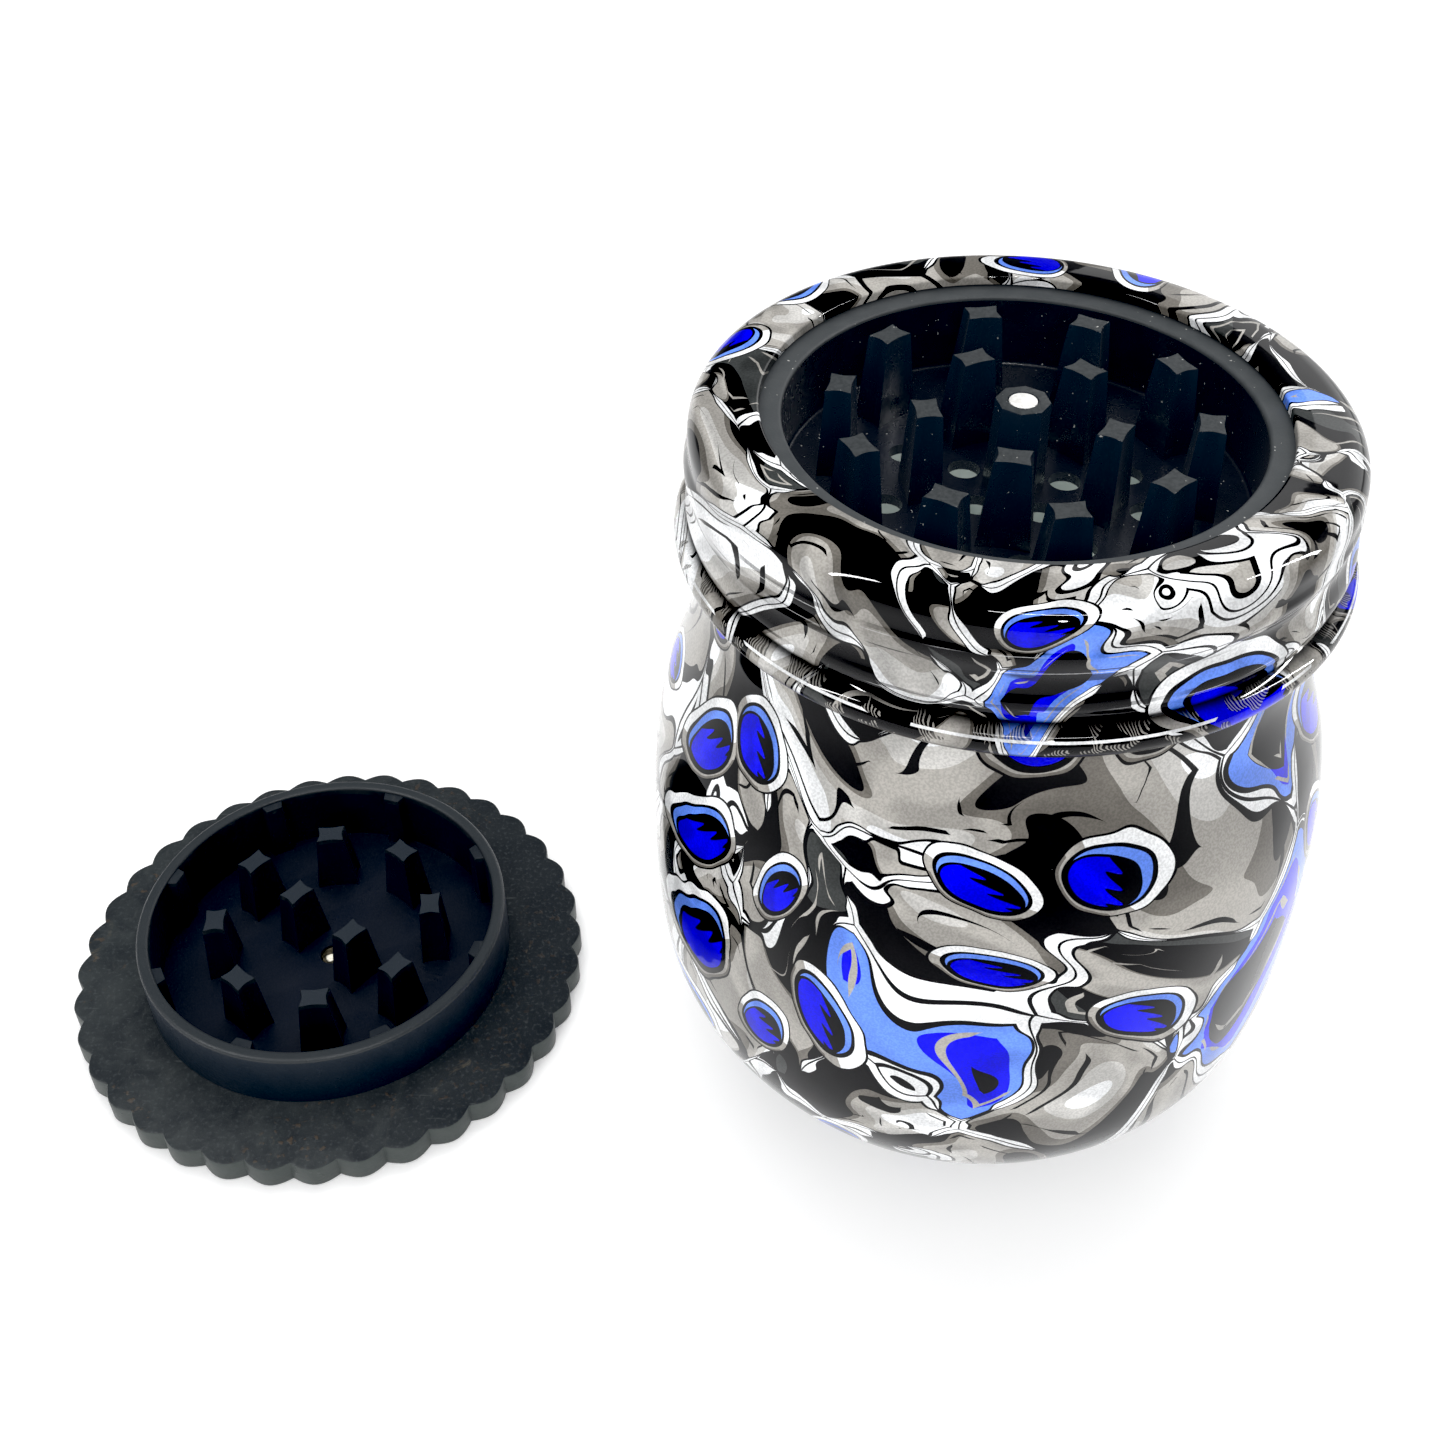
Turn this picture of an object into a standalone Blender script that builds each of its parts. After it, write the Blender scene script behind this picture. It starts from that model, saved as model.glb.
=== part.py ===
"""Glass herb grinder: a round glass jar with a screw band, a toothed plastic bowl held in the band, and the
toothed cap lying upside down beside the jar.

Origin: centre of the jar's foot, on the surface that it stands on. +Z is up, and the cap lies towards -X.
Blender 4.5, metres.
"""

import math

import bmesh
import bpy
from mathutils import Matrix, Vector

MM = 0.001
MERGE = 0.00001

# How deep one joined piece is rooted in another, and how far a cutter runs past the wall that it cuts
ROOTED = 0.5
PAST = 1.0

# Jar: outer radii and heights from the foot up to the neck, then the inside from the mouth to the floor
JAR_OUTER = ((25.5, 0.0), (30.1, 1.4), (34.2, 6.5), (37.7, 13.0), (39.3, 20.0), (39.8, 32.0), (39.4, 44.5),
             (37.9, 54.0), (35.3, 62.0), (33.6, 68.0), (33.2, 72.5))
JAR_INNER = ((29.3, 73.0), (31.0, 66.0), (35.0, 53.5), (36.8, 35.0), (35.9, 18.5), (31.8, 9.3), (24.5, 4.6))
JAR_FLOOR = 4.5
FINISH_RADIUS = 33.1
MOUTH_RADIUS = 29.3
JAR_RIM = 87.15
RIM_ROUNDING = 0.8
JAR_STEPS = 44

# Screw thread, right-handed, rolled into the band and moulded on the jar as one matching wave
THREAD_PITCH = 6.35
THREAD_HEIGHT = 0.35
THREAD_FADE = 1.2
JAR_THREAD = (77.2, 86.0)
BAND_THREAD = (80.6, 88.4)
THREAD_ROWS = 9

# Screw band
BAND_TOP = 92.3
BAND_RADIUS = 34.9
BAND_FLARE = 0.3
BAND_SHEET = 0.6
SHOULDER_RADIUS = 3.0
BAND_OPENING = 27.35
LIP_BOTTOM = 91.25
LIP_ROUNDING = 0.3
BEAD_RADIUS = 36.5
BEAD_HEIGHT = 77.3
BEAD_HALF = 1.6
GROOVE_DEPTH = 0.1
GROOVE_HEIGHT = 0.35
BAND_STEPS = 44

# Grinder bowl
BOWL_RADIUS = 25.0
BOWL_RIM = 90.95
BOWL_FLOOR = 82.0
BOWL_FLOOR_SHEET = 1.2
BOWL_WALL = 1.5
BOWL_FLANGE_RADIUS = 33.2
BOWL_FLANGE_SHEET = 2.0
BOWL_EDGE = 0.4
BOWL_CHAMFER = 1.0
BOWL_STEPS = 60
POST_RADIUS = 2.87
POST_TOP = 92.57
POST_TURN = -11.6
POST_FLARE = 0.4

# Rings of teeth: (count, ring radius, angle of the first one)
BOWL_TEETH = ((10, 19.06, -11.8), (5, 10.08, -30.1))
CAP_TEETH = ((8, 14.43, 6.5), (2, 5.48, -38.7))
BOWL_TEETH_TOP = 92.25
CAP_TEETH_TOP = 11.55
TOOTH_RADIAL = 1.38
TOOTH_ACROSS = 1.85
TOOTH_HOLLOW = 0.3
TOOTH_FLARE_RADIAL = 0.5
TOOTH_FLARE_ACROSS = 1.05
TOOTH_SIDE_POINTS = 4

# Sieve holes in the bowl's floor: (count, ring radius, angle of the first one)
SIEVE_RINGS = ((5, 5.7, 5.9), (5, 12.6, 7.9), (5, 14.3, 50.9))
SIEVE_RADIUS = 1.75
SIEVE_SIDES = 16

# Gasket between the bowl's flange and the jar's rim
GASKET_INNER = 29.7
GASKET_OUTER = 32.9
GASKET_BOTTOM = 87.45
GASKET_SHEET = 1.2
GASKET_ROUNDING = 0.3
GASKET_STEPS = 40

# Cap, upside down on the surface beside the jar
CAP_CENTRE = -85.5
CAP_SHEET = 3.5
LOBES = 36
LOBE_VALLEY = 33.35
LOBE_DEPTH = 1.12
LOBE_TURN = -3.1
LOBE_POINTS = 6
LOBE_EDGE = 0.3
CAP_RECESS = 2.6
SKIRT_OUTER = 24.6
SKIRT_INNER = 22.95
SKIRT_TOP = 12.0
SKIRT_EDGE = 0.5
SKIRT_STEPS = 48
LUGS = 8
LUG_TURN = 29.4
LUG_TIP = 21.75
LUG_TIP_HALF = 1.1
LUG_ROOT_HALF = 1.7
LUG_FLARE = 0.3
LUG_ROOTED = 0.8
SKIRT_ROOTED = 0.4

# Disc magnets
MAGNET_RADIUS = 1.5
MAGNET_LENGTH = 2.0
MAGNET_SIDES = 24
MAGNET_GAP = 0.3
CAP_MAGNET_LENGTH = 1.0
CAP_MAGNET_BELOW = 0.25

PIECES = bpy.data.collections.new("glass_grinder")
CUTTERS = bpy.data.collections.new("cutters")


def clear_scene():
    for obj in list(bpy.data.objects):
        bpy.data.objects.remove(obj)
    bpy.context.scene.collection.children.link(PIECES)
    bpy.context.scene.collection.children.link(CUTTERS)
    CUTTERS.hide_render = True


def material(name, colour, roughness, metallic=0.0, transmission=0.0):
    made = bpy.data.materials.new(name)
    made.use_nodes = True
    shader = made.node_tree.nodes["Principled BSDF"]
    shader.inputs["Base Color"].default_value = (*colour, 1.0)
    shader.inputs["Roughness"].default_value = roughness
    shader.inputs["Metallic"].default_value = metallic
    shader.inputs["Transmission Weight"].default_value = transmission
    return made


def object_from(name, mesh, collection=PIECES):
    obj = bpy.data.objects.new(name, mesh)
    collection.objects.link(obj)
    return obj


def cutter(name, mesh):
    obj = object_from(name, mesh, CUTTERS)
    obj.hide_render = True
    obj.display_type = "WIRE"
    return obj


def evaluated_mesh(obj):
    """The object's mesh with its modifiers applied."""
    bpy.context.view_layer.update()
    graph = bpy.context.evaluated_depsgraph_get()
    return bpy.data.meshes.new_from_object(obj.evaluated_get(graph), depsgraph=graph)


def tidy(mesh):
    """Welds double points and turns every face outwards."""
    work = bmesh.new()
    work.from_mesh(mesh)
    bmesh.ops.remove_doubles(work, verts=work.verts, dist=MERGE)
    bmesh.ops.recalc_face_normals(work, faces=work.faces)
    work.to_mesh(mesh)
    work.free()
    return mesh


def smooth_line(points, steps):
    """Points on a smooth curve through the given ones."""
    padded = [points[0], *points, points[-1]]
    line = []
    for before, start, end, after in zip(padded, padded[1:], padded[2:], padded[3:]):
        for step in range(steps):
            t = step / steps
            line.append(tuple(
                0.5 * (2 * s + (e - b) * t + (2 * b - 5 * s + 4 * e - a) * t ** 2
                       + (3 * s - b - 3 * e + a) * t ** 3)
                for b, s, e, a in zip(before, start, end, after)))
    line.append(points[-1])
    return line


def arc(radius, height, size, start, end, steps):
    """Points of a round stretch about (radius, height), by angle in degrees from +R towards +Z."""
    angles = [math.radians(start + (end - start) * step / steps) for step in range(steps + 1)]
    return [(radius + size * math.cos(angle), height + size * math.sin(angle)) for angle in angles]


def turned_mesh(outline, steps, closed=True):
    """A profile of (radius, height) in millimetres, turned about Z."""
    mesh = bpy.data.meshes.new("profile")
    points = [(radius * MM, 0.0, height * MM) for radius, height in outline]
    edges = [(step, step + 1) for step in range(len(points) - 1)]
    if closed:
        edges.append((len(points) - 1, 0))
    mesh.from_pydata(points, edges, [])
    helper = cutter("profile", mesh)
    screw = helper.modifiers.new("turn", "SCREW")
    screw.steps = steps
    screw.render_steps = steps
    screw.use_merge_vertices = True
    screw.merge_threshold = MERGE
    made = tidy(evaluated_mesh(helper))
    bpy.data.objects.remove(helper)
    return made


def shade_smooth(obj, angle=30.0):
    obj.data.polygons.foreach_set("use_smooth", [True] * len(obj.data.polygons))
    obj.data.set_sharp_from_angle(angle=math.radians(angle))


def thread_wave(height, angle, span):
    """How far the screw thread pushes a surface out, in millimetres. It fades at both ends of its span."""
    low, high = span
    fade = min(1.0, max(0.0, (height - low) / THREAD_FADE), max(0.0, (high - height) / THREAD_FADE))
    return THREAD_HEIGHT * fade * math.cos(2 * math.pi * height / THREAD_PITCH - angle)


def roll_thread(mesh, span, inside_limit):
    """Pushes a turned wall's points out and in along the thread, leaving those inside a radius alone."""
    for vertex in mesh.vertices:
        radius = math.hypot(vertex.co.x, vertex.co.y)
        height = vertex.co.z / MM
        if radius < inside_limit * MM or not span[0] < height < span[1]:
            continue
        angle = math.atan2(vertex.co.y, vertex.co.x)
        grow = 1 + thread_wave(height, angle, span) * MM / radius
        vertex.co.x *= grow
        vertex.co.y *= grow


def rows(radius_low, radius_high, span):
    """Points up a wall through the thread, from the bottom."""
    low, high = span
    return [(radius_low + (radius_high - radius_low) * row / THREAD_ROWS,
             low + (high - low) * row / THREAD_ROWS)
            for row in range(THREAD_ROWS + 1)]


def glass_jar(look):
    rim = arc(FINISH_RADIUS - RIM_ROUNDING, JAR_RIM - RIM_ROUNDING, RIM_ROUNDING, 0, 90, 3)
    mouth = arc(MOUTH_RADIUS + RIM_ROUNDING, JAR_RIM - RIM_ROUNDING, RIM_ROUNDING, 90, 180, 3)
    outline = [(0.0, 0.0)]
    outline += smooth_line(JAR_OUTER, 2)
    outline += rows(FINISH_RADIUS, FINISH_RADIUS, JAR_THREAD)
    outline += rim + mouth + smooth_line(JAR_INNER, 2)
    outline += [(0.0, JAR_FLOOR)]
    mesh = turned_mesh(outline, JAR_STEPS, closed=False)
    roll_thread(mesh, JAR_THREAD, FINISH_RADIUS - THREAD_HEIGHT)
    jar = object_from("glass_jar", mesh)
    jar.data.materials.append(look)
    shade_smooth(jar)


def screw_band(look):
    inner = BAND_RADIUS - BAND_SHEET
    shoulder = arc(BAND_RADIUS - SHOULDER_RADIUS, BAND_TOP - SHOULDER_RADIUS, SHOULDER_RADIUS, 90, 0, 4)
    inside = arc(BAND_RADIUS - SHOULDER_RADIUS, BAND_TOP - SHOULDER_RADIUS, SHOULDER_RADIUS - BAND_SHEET,
                 0, 90, 3)
    wall = rows(BAND_RADIUS + BAND_FLARE, BAND_RADIUS, BAND_THREAD)
    back = rows(inner + BAND_FLARE, inner, BAND_THREAD)
    groove_top = BEAD_HEIGHT + BEAD_HALF
    bead = arc(BEAD_RADIUS - BEAD_HALF, BEAD_HEIGHT, BEAD_HALF, 75, -90, 6)
    outline = [(BAND_OPENING, LIP_BOTTOM), (BAND_OPENING, BAND_TOP - LIP_ROUNDING),
               (BAND_OPENING + LIP_ROUNDING, BAND_TOP)]
    outline += shoulder + wall[::-1]
    outline += [(BAND_RADIUS - GROOVE_DEPTH, groove_top + GROOVE_HEIGHT)]
    outline += bead
    outline += [(inner + BAND_FLARE, BEAD_HEIGHT - BEAD_HALF)]
    outline += back + inside
    outline += [(BAND_OPENING + BAND_SHEET + LIP_ROUNDING, BAND_TOP - BAND_SHEET),
                (BAND_OPENING + BAND_SHEET, LIP_BOTTOM)]
    mesh = turned_mesh(outline, BAND_STEPS)
    roll_thread(mesh, BAND_THREAD, inner - THREAD_HEIGHT)
    band = object_from("screw_band", mesh)
    band.data.materials.append(look)
    shade_smooth(band)


def tooth_outline(radial, across):
    """Four corners joined by hollow sides, as points round the tooth."""
    corners = [(radial, across), (-radial, across), (-radial, -across), (radial, -across)]
    points = []
    for start, end in zip(corners, corners[1:] + corners[:1]):
        for step in range(TOOTH_SIDE_POINTS):
            t = step / TOOTH_SIDE_POINTS
            dip = 1 - TOOTH_HOLLOW * 4 * t * (1 - t) / max(radial, across)
            points.append((dip * (start[0] + (end[0] - start[0]) * t),
                           dip * (start[1] + (end[1] - start[1]) * t)))
    return points


def add_frustum(work, low_points, high_points, low, high, place):
    """A solid between two outlines with the same number of points, in millimetres."""
    face = work.faces.new([work.verts.new((x * MM, y * MM, low * MM)) for x, y in low_points])
    raised = bmesh.ops.extrude_face_region(work, geom=[face])["geom"]
    tops = [item for item in raised if isinstance(item, bmesh.types.BMVert)]
    places = {(round(x, 6), round(y, 6)): high_xy for (x, y), high_xy in zip(low_points, high_points)}
    for vertex in tops:
        x, y = places[(round(vertex.co.x / MM, 6), round(vertex.co.y / MM, 6))]
        vertex.co = Vector((x * MM, y * MM, high * MM))
    points = set(tops) | set(face.verts)
    bmesh.ops.transform(work, matrix=place, verts=list(points))


def turned_place(angle, radius):
    """A matrix that puts something made at the axis on a ring, facing outwards."""
    return Matrix.Rotation(math.radians(angle), 4, "Z") @ Matrix.Translation((radius * MM, 0.0, 0.0))


def teeth_mesh(rings, low, high):
    work = bmesh.new()
    tip = tooth_outline(TOOTH_RADIAL, TOOTH_ACROSS)
    root = tooth_outline(TOOTH_RADIAL + TOOTH_FLARE_RADIAL, TOOTH_ACROSS + TOOTH_FLARE_ACROSS)
    for count, radius, first in rings:
        for number in range(count):
            add_frustum(work, root, tip, low, high, turned_place(first + number * 360 / count, radius))
    return finish_mesh(work, "teeth")


def finish_mesh(work, name):
    bmesh.ops.recalc_face_normals(work, faces=work.faces)
    mesh = bpy.data.meshes.new(name)
    work.to_mesh(mesh)
    work.free()
    return mesh


def cylinder_mesh(places, radius, low, high, sides):
    """Upright cylinders, one at each place of (ring radius, angle)."""
    work = bmesh.new()
    for ring, angle in places:
        spot = turned_place(angle, ring) @ Matrix.Translation((0, 0, (low + high) / 2 * MM))
        bmesh.ops.create_cone(work, cap_ends=True, segments=sides, radius1=radius * MM, radius2=radius * MM,
                              depth=(high - low) * MM, matrix=spot)
    return finish_mesh(work, "cylinders")


def boolean(obj, operation, other):
    made = obj.modifiers.new(operation.lower(), "BOOLEAN")
    made.operation = operation
    made.object = other
    made.solver = "EXACT"


def bake(obj):
    """Turns the object's modifiers into its mesh and removes the cutters that it used."""
    used = [modifier.object for modifier in obj.modifiers]
    mesh = tidy(evaluated_mesh(obj))
    obj.modifiers.clear()
    obj.data = mesh
    for other in used:
        bpy.data.objects.remove(other)


def octagon(radius):
    angles = [math.radians(POST_TURN + 45 * corner) for corner in range(8)]
    return [(radius * math.cos(angle), radius * math.sin(angle)) for angle in angles]


def post_mesh():
    work = bmesh.new()
    add_frustum(work, octagon(POST_RADIUS + POST_FLARE), octagon(POST_RADIUS), BOWL_FLOOR - ROOTED, POST_TOP,
                Matrix())
    return finish_mesh(work, "post")


def bowl_outline():
    outer = BOWL_RADIUS + BOWL_WALL
    under = BOWL_FLOOR - BOWL_FLOOR_SHEET
    flange = BOWL_RIM - BOWL_FLANGE_SHEET
    outline = [(0.0, BOWL_FLOOR)]
    outline += arc(BOWL_RADIUS - BOWL_EDGE, BOWL_FLOOR + BOWL_EDGE, BOWL_EDGE, -90, 0, 2)
    outline += arc(BOWL_RADIUS + BOWL_EDGE, BOWL_RIM - BOWL_EDGE, BOWL_EDGE, 180, 90, 3)
    outline += [(BOWL_FLANGE_RADIUS, BOWL_RIM), (BOWL_FLANGE_RADIUS, flange), (outer, flange)]
    outline += [(outer, under + BOWL_CHAMFER), (outer - BOWL_CHAMFER, under), (0.0, under)]
    return outline


def grinder_bowl(look):
    bowl = object_from("grinder_bowl", turned_mesh(bowl_outline(), BOWL_STEPS, closed=False))
    teeth = teeth_mesh(BOWL_TEETH, BOWL_FLOOR - ROOTED, BOWL_TEETH_TOP)
    boolean(bowl, "UNION", cutter("bowl_teeth", teeth))
    boolean(bowl, "UNION", cutter("bowl_post", post_mesh()))
    holes = [(radius, first + number * 360 / count) for count, radius, first in SIEVE_RINGS
             for number in range(count)]
    sieve = cylinder_mesh(holes, SIEVE_RADIUS, BOWL_FLOOR - BOWL_FLOOR_SHEET - PAST, BOWL_FLOOR + PAST,
                          SIEVE_SIDES)
    boolean(bowl, "DIFFERENCE", cutter("sieve_holes", sieve))
    pocket = cylinder_mesh([(0.0, 0.0)], MAGNET_RADIUS + MAGNET_GAP, POST_TOP - MAGNET_LENGTH - MAGNET_GAP,
                           POST_TOP + PAST, MAGNET_SIDES)
    boolean(bowl, "DIFFERENCE", cutter("magnet_pocket", pocket))
    bake(bowl)
    bowl.data.materials.clear()
    bowl.data.materials.append(look)
    shade_smooth(bowl)


def magnet(name, centre, low, length, look):
    mesh = cylinder_mesh([(0.0, 0.0)], MAGNET_RADIUS, -length / 2, length / 2, MAGNET_SIDES)
    disc = object_from(name, mesh)
    disc.location = (centre * MM, 0.0, (low + length / 2) * MM)
    disc.data.materials.append(look)
    shade_smooth(disc)


def gasket(look):
    edge = GASKET_ROUNDING
    low = GASKET_BOTTOM
    high = GASKET_BOTTOM + GASKET_SHEET
    outline = [(GASKET_INNER + edge, high), (GASKET_OUTER - edge, high), (GASKET_OUTER, high - edge),
               (GASKET_OUTER, low + edge), (GASKET_OUTER - edge, low), (GASKET_INNER + edge, low),
               (GASKET_INNER, low + edge), (GASKET_INNER, high - edge)]
    ring = object_from("sealing_gasket", turned_mesh(outline, GASKET_STEPS))
    ring.data.materials.append(look)
    shade_smooth(ring, 50.0)


def lobe_radius(angle):
    return LOBE_VALLEY + LOBE_DEPTH * abs(math.cos(LOBES / 2 * (angle - math.radians(LOBE_TURN))))


def cap_disc_mesh():
    """The cap's disc with its scalloped edge, as a flat outline given a thickness and softened edges."""
    count = LOBES * LOBE_POINTS
    # the first point is in a valley between two lobes, so that one falls in the bottom of every valley
    first = math.radians(LOBE_TURN + 180 / LOBES)
    angles = [first + 2 * math.pi * number / count for number in range(count)]
    curve = bpy.data.curves.new("cap_disc", "CURVE")
    curve.dimensions = "2D"
    curve.fill_mode = "BOTH"
    curve.extrude = (CAP_SHEET / 2 - LOBE_EDGE) * MM
    curve.bevel_depth = LOBE_EDGE * MM
    curve.bevel_resolution = 0
    spline = curve.splines.new("POLY")
    spline.points.add(count - 1)
    for point, angle in zip(spline.points, angles):
        radius = (lobe_radius(angle) - LOBE_EDGE) * MM
        point.co = (radius * math.cos(angle), radius * math.sin(angle), 0.0, 1.0)
    spline.use_cyclic_u = True
    helper = object_from("cap_disc", curve, CUTTERS)
    mesh = tidy(evaluated_mesh(helper))
    bpy.data.objects.remove(helper)
    mesh.transform(Matrix.Translation((0.0, 0.0, CAP_SHEET / 2 * MM)))
    return mesh


def lug_mesh():
    """Half teeth on the inside of the cap's skirt."""
    depth = SKIRT_INNER + LUG_ROOTED - LUG_TIP
    head = [(0.0, -LUG_TIP_HALF), (depth, -LUG_ROOT_HALF), (depth, LUG_ROOT_HALF), (0.0, LUG_TIP_HALF)]
    foot = [(x, y + math.copysign(LUG_FLARE, y)) for x, y in head]
    work = bmesh.new()
    for number in range(LUGS):
        place = turned_place(LUG_TURN + number * 360 / LUGS, LUG_TIP)
        add_frustum(work, foot, head, CAP_RECESS - ROOTED, CAP_TEETH_TOP, place)
    return finish_mesh(work, "lugs")


def skirt_mesh():
    """The cap's raised ring, rooted in the disc."""
    root = CAP_SHEET / 2 - SKIRT_ROOTED
    outline = [(SKIRT_OUTER, root)]
    outline += arc(SKIRT_OUTER - SKIRT_EDGE, SKIRT_TOP - SKIRT_EDGE, SKIRT_EDGE, 0, 90, 3)
    outline += arc(SKIRT_INNER + SKIRT_EDGE, SKIRT_TOP - SKIRT_EDGE, SKIRT_EDGE, 90, 180, 2)
    outline += [(SKIRT_INNER, root)]
    return turned_mesh(outline, SKIRT_STEPS)


def grinder_cap(look):
    cap = object_from("grinder_cap", cap_disc_mesh())
    middle = [(0.0, 0.0)]
    wide = (SKIRT_INNER + SKIRT_OUTER) / 2
    recess = cylinder_mesh(middle, wide, CAP_RECESS, CAP_SHEET + PAST, SKIRT_STEPS)
    boolean(cap, "DIFFERENCE", cutter("cap_recess", recess))
    boolean(cap, "UNION", cutter("cap_skirt", skirt_mesh()))
    boolean(cap, "UNION", cutter("cap_lugs", lug_mesh()))
    boolean(cap, "UNION", cutter("cap_teeth", teeth_mesh(CAP_TEETH, CAP_RECESS - ROOTED, CAP_TEETH_TOP)))
    pocket_floor = CAP_RECESS - CAP_MAGNET_BELOW - CAP_MAGNET_LENGTH - MAGNET_GAP
    pocket = cylinder_mesh(middle, MAGNET_RADIUS + MAGNET_GAP, pocket_floor, CAP_RECESS + PAST, MAGNET_SIDES)
    boolean(cap, "DIFFERENCE", cutter("cap_pocket", pocket))
    bake(cap)
    cap.location = (CAP_CENTRE * MM, 0.0, 0.0)
    cap.data.materials.clear()
    cap.data.materials.append(look)
    shade_smooth(cap)


def main():
    clear_scene()
    printed_glass = material("printed_glass", (0.26, 0.26, 0.30), 0.06)
    printed_metal = material("printed_metal", (0.22, 0.22, 0.27), 0.10, 0.6)
    black_plastic = material("black_plastic", (0.02, 0.022, 0.026), 0.38)
    cap_plastic = material("cap_plastic", (0.03, 0.033, 0.038), 0.5)
    nickel = material("nickel", (0.78, 0.77, 0.74), 0.22, 1.0)
    silicone = material("silicone", (0.75, 0.75, 0.73), 0.6)
    glass_jar(printed_glass)
    screw_band(printed_metal)
    grinder_bowl(black_plastic)
    magnet("bowl_magnet", 0.0, POST_TOP - MAGNET_LENGTH, MAGNET_LENGTH, nickel)
    gasket(silicone)
    grinder_cap(cap_plastic)
    cap_magnet_low = CAP_RECESS - CAP_MAGNET_BELOW - CAP_MAGNET_LENGTH
    magnet("cap_magnet", CAP_CENTRE, cap_magnet_low, CAP_MAGNET_LENGTH, nickel)


main()
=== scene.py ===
"""The looks of the glass herb grinder, and the studio around it.

A printed glass jar and screw band, a black bowl with teeth that sits in the band, and a charcoal cap with
teeth that lies upside down beside the jar. Lengths are in millimetres unless a comment says otherwise.
"""

import math

import bmesh
import bpy
from mathutils import Matrix, Vector


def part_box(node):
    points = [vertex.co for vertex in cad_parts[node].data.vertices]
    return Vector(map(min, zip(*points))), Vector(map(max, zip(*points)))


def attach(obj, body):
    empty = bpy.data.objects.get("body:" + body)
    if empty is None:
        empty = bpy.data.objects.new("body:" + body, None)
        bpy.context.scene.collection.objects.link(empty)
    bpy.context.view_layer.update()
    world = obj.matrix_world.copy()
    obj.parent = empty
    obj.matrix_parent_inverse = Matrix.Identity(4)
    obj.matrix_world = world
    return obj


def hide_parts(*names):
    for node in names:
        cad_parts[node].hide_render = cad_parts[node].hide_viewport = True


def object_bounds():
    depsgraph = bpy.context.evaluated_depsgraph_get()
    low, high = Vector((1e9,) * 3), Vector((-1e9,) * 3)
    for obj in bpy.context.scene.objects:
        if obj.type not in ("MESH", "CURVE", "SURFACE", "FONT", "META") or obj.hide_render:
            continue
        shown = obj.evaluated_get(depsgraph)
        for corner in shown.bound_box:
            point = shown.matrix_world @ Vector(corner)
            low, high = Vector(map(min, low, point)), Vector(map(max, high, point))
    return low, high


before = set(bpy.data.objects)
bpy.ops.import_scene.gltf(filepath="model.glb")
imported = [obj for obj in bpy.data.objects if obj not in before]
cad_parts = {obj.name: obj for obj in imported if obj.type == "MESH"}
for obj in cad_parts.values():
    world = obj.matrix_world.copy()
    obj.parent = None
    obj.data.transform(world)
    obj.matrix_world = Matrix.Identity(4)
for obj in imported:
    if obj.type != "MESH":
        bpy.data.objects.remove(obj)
CAD_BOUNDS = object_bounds()

# Metres in a millimetre, and the distance in metres under which vertices are merged after a cut
MM = 0.001
MERGE = 0.000005

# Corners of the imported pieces, in metres, and the heights and the place that follow from them
CAP_LOW, CAP_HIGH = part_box("grinder_cap")
GASKET_LOW, GASKET_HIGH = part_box("sealing_gasket")
POST_MAGNET_LOW, POST_MAGNET_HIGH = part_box("bowl_magnet")
CAP_MAGNET_LOW, CAP_MAGNET_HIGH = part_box("cap_magnet")
CAP_CENTRE = (CAP_LOW.x + CAP_HIGH.x) / 2 / MM
JAR_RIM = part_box("glass_jar")[1].z / MM
BAND_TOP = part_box("screw_band")[1].z / MM
POST_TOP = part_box("grinder_bowl")[1].z / MM
SKIRT_TOP = CAP_HIGH.z / MM

# Jar: the outlines are (radius, height)
JAR_OUTER = ((25.5, 0.0), (30.1, 1.4), (34.2, 6.5), (37.7, 13.0), (39.3, 20.0), (39.8, 32.0), (39.4, 44.5),
             (37.9, 54.0), (35.3, 62.0), (33.6, 68.0), (33.2, 72.5))
JAR_INNER = ((29.3, 73.0), (31.0, 66.0), (35.0, 53.5), (36.8, 35.0), (35.9, 18.5), (31.8, 9.3), (24.5, 4.6))
JAR_FLOOR = 4.5
FINISH_RADIUS = 33.1
MOUTH_RADIUS = 29.3
MOUTH_LOW = 60.0
RIM_ROUNDING = 0.8
JAR_STEPS = 160

# Screw thread: the two spans are (lowest, highest)
THREAD_PITCH = 6.35
THREAD_HEIGHT = 0.35
THREAD_FADE = 1.2
JAR_THREAD = (77.2, 86.0)
BAND_THREAD = (80.6, 88.4)

# Band
BAND_RADIUS = 34.9
BAND_FLARE = 0.3
BAND_SHEET = 0.6
SHOULDER_RADIUS = 3.0
BAND_OPENING = 27.35
LIP_DEPTH = 1.05
BEAD_RADIUS = 36.5
BEAD_HEIGHT = 77.3
BEAD_HALF = 1.6
BAND_STEPS = 192

# Bowl: teeth and holes are (how many, radius of their ring, angle of the first in degrees)
BOWL_RADIUS = 25.0
BOWL_RIM = 90.95
BOWL_FLOOR = 82.0
BOWL_FLOOR_SHEET = 1.2
BOWL_WALL = 1.5
BOWL_FLANGE_RADIUS = 33.2
BOWL_FLANGE_SHEET = 2.0
BOWL_STEPS = 144
POST_RADIUS = 2.87
POST_TURN = -11.6
BOWL_TEETH = ((10, 19.06, -11.8), (5, 10.08, -30.1))
BOWL_TEETH_TOP = 92.25
SIEVE_RINGS = ((5, 5.7, 5.9), (5, 12.6, 7.9), (5, 14.3, 50.9))
SIEVE_RADIUS = 1.75
TOOTH_RADIAL = 1.38
TOOTH_ACROSS = 1.85
TOOTH_HOLLOW = 0.3
TOOTH_FLARE_RADIAL = 0.5
TOOTH_FLARE_ACROSS = 1.05
TOOTH_EDGE = 0.06
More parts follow.
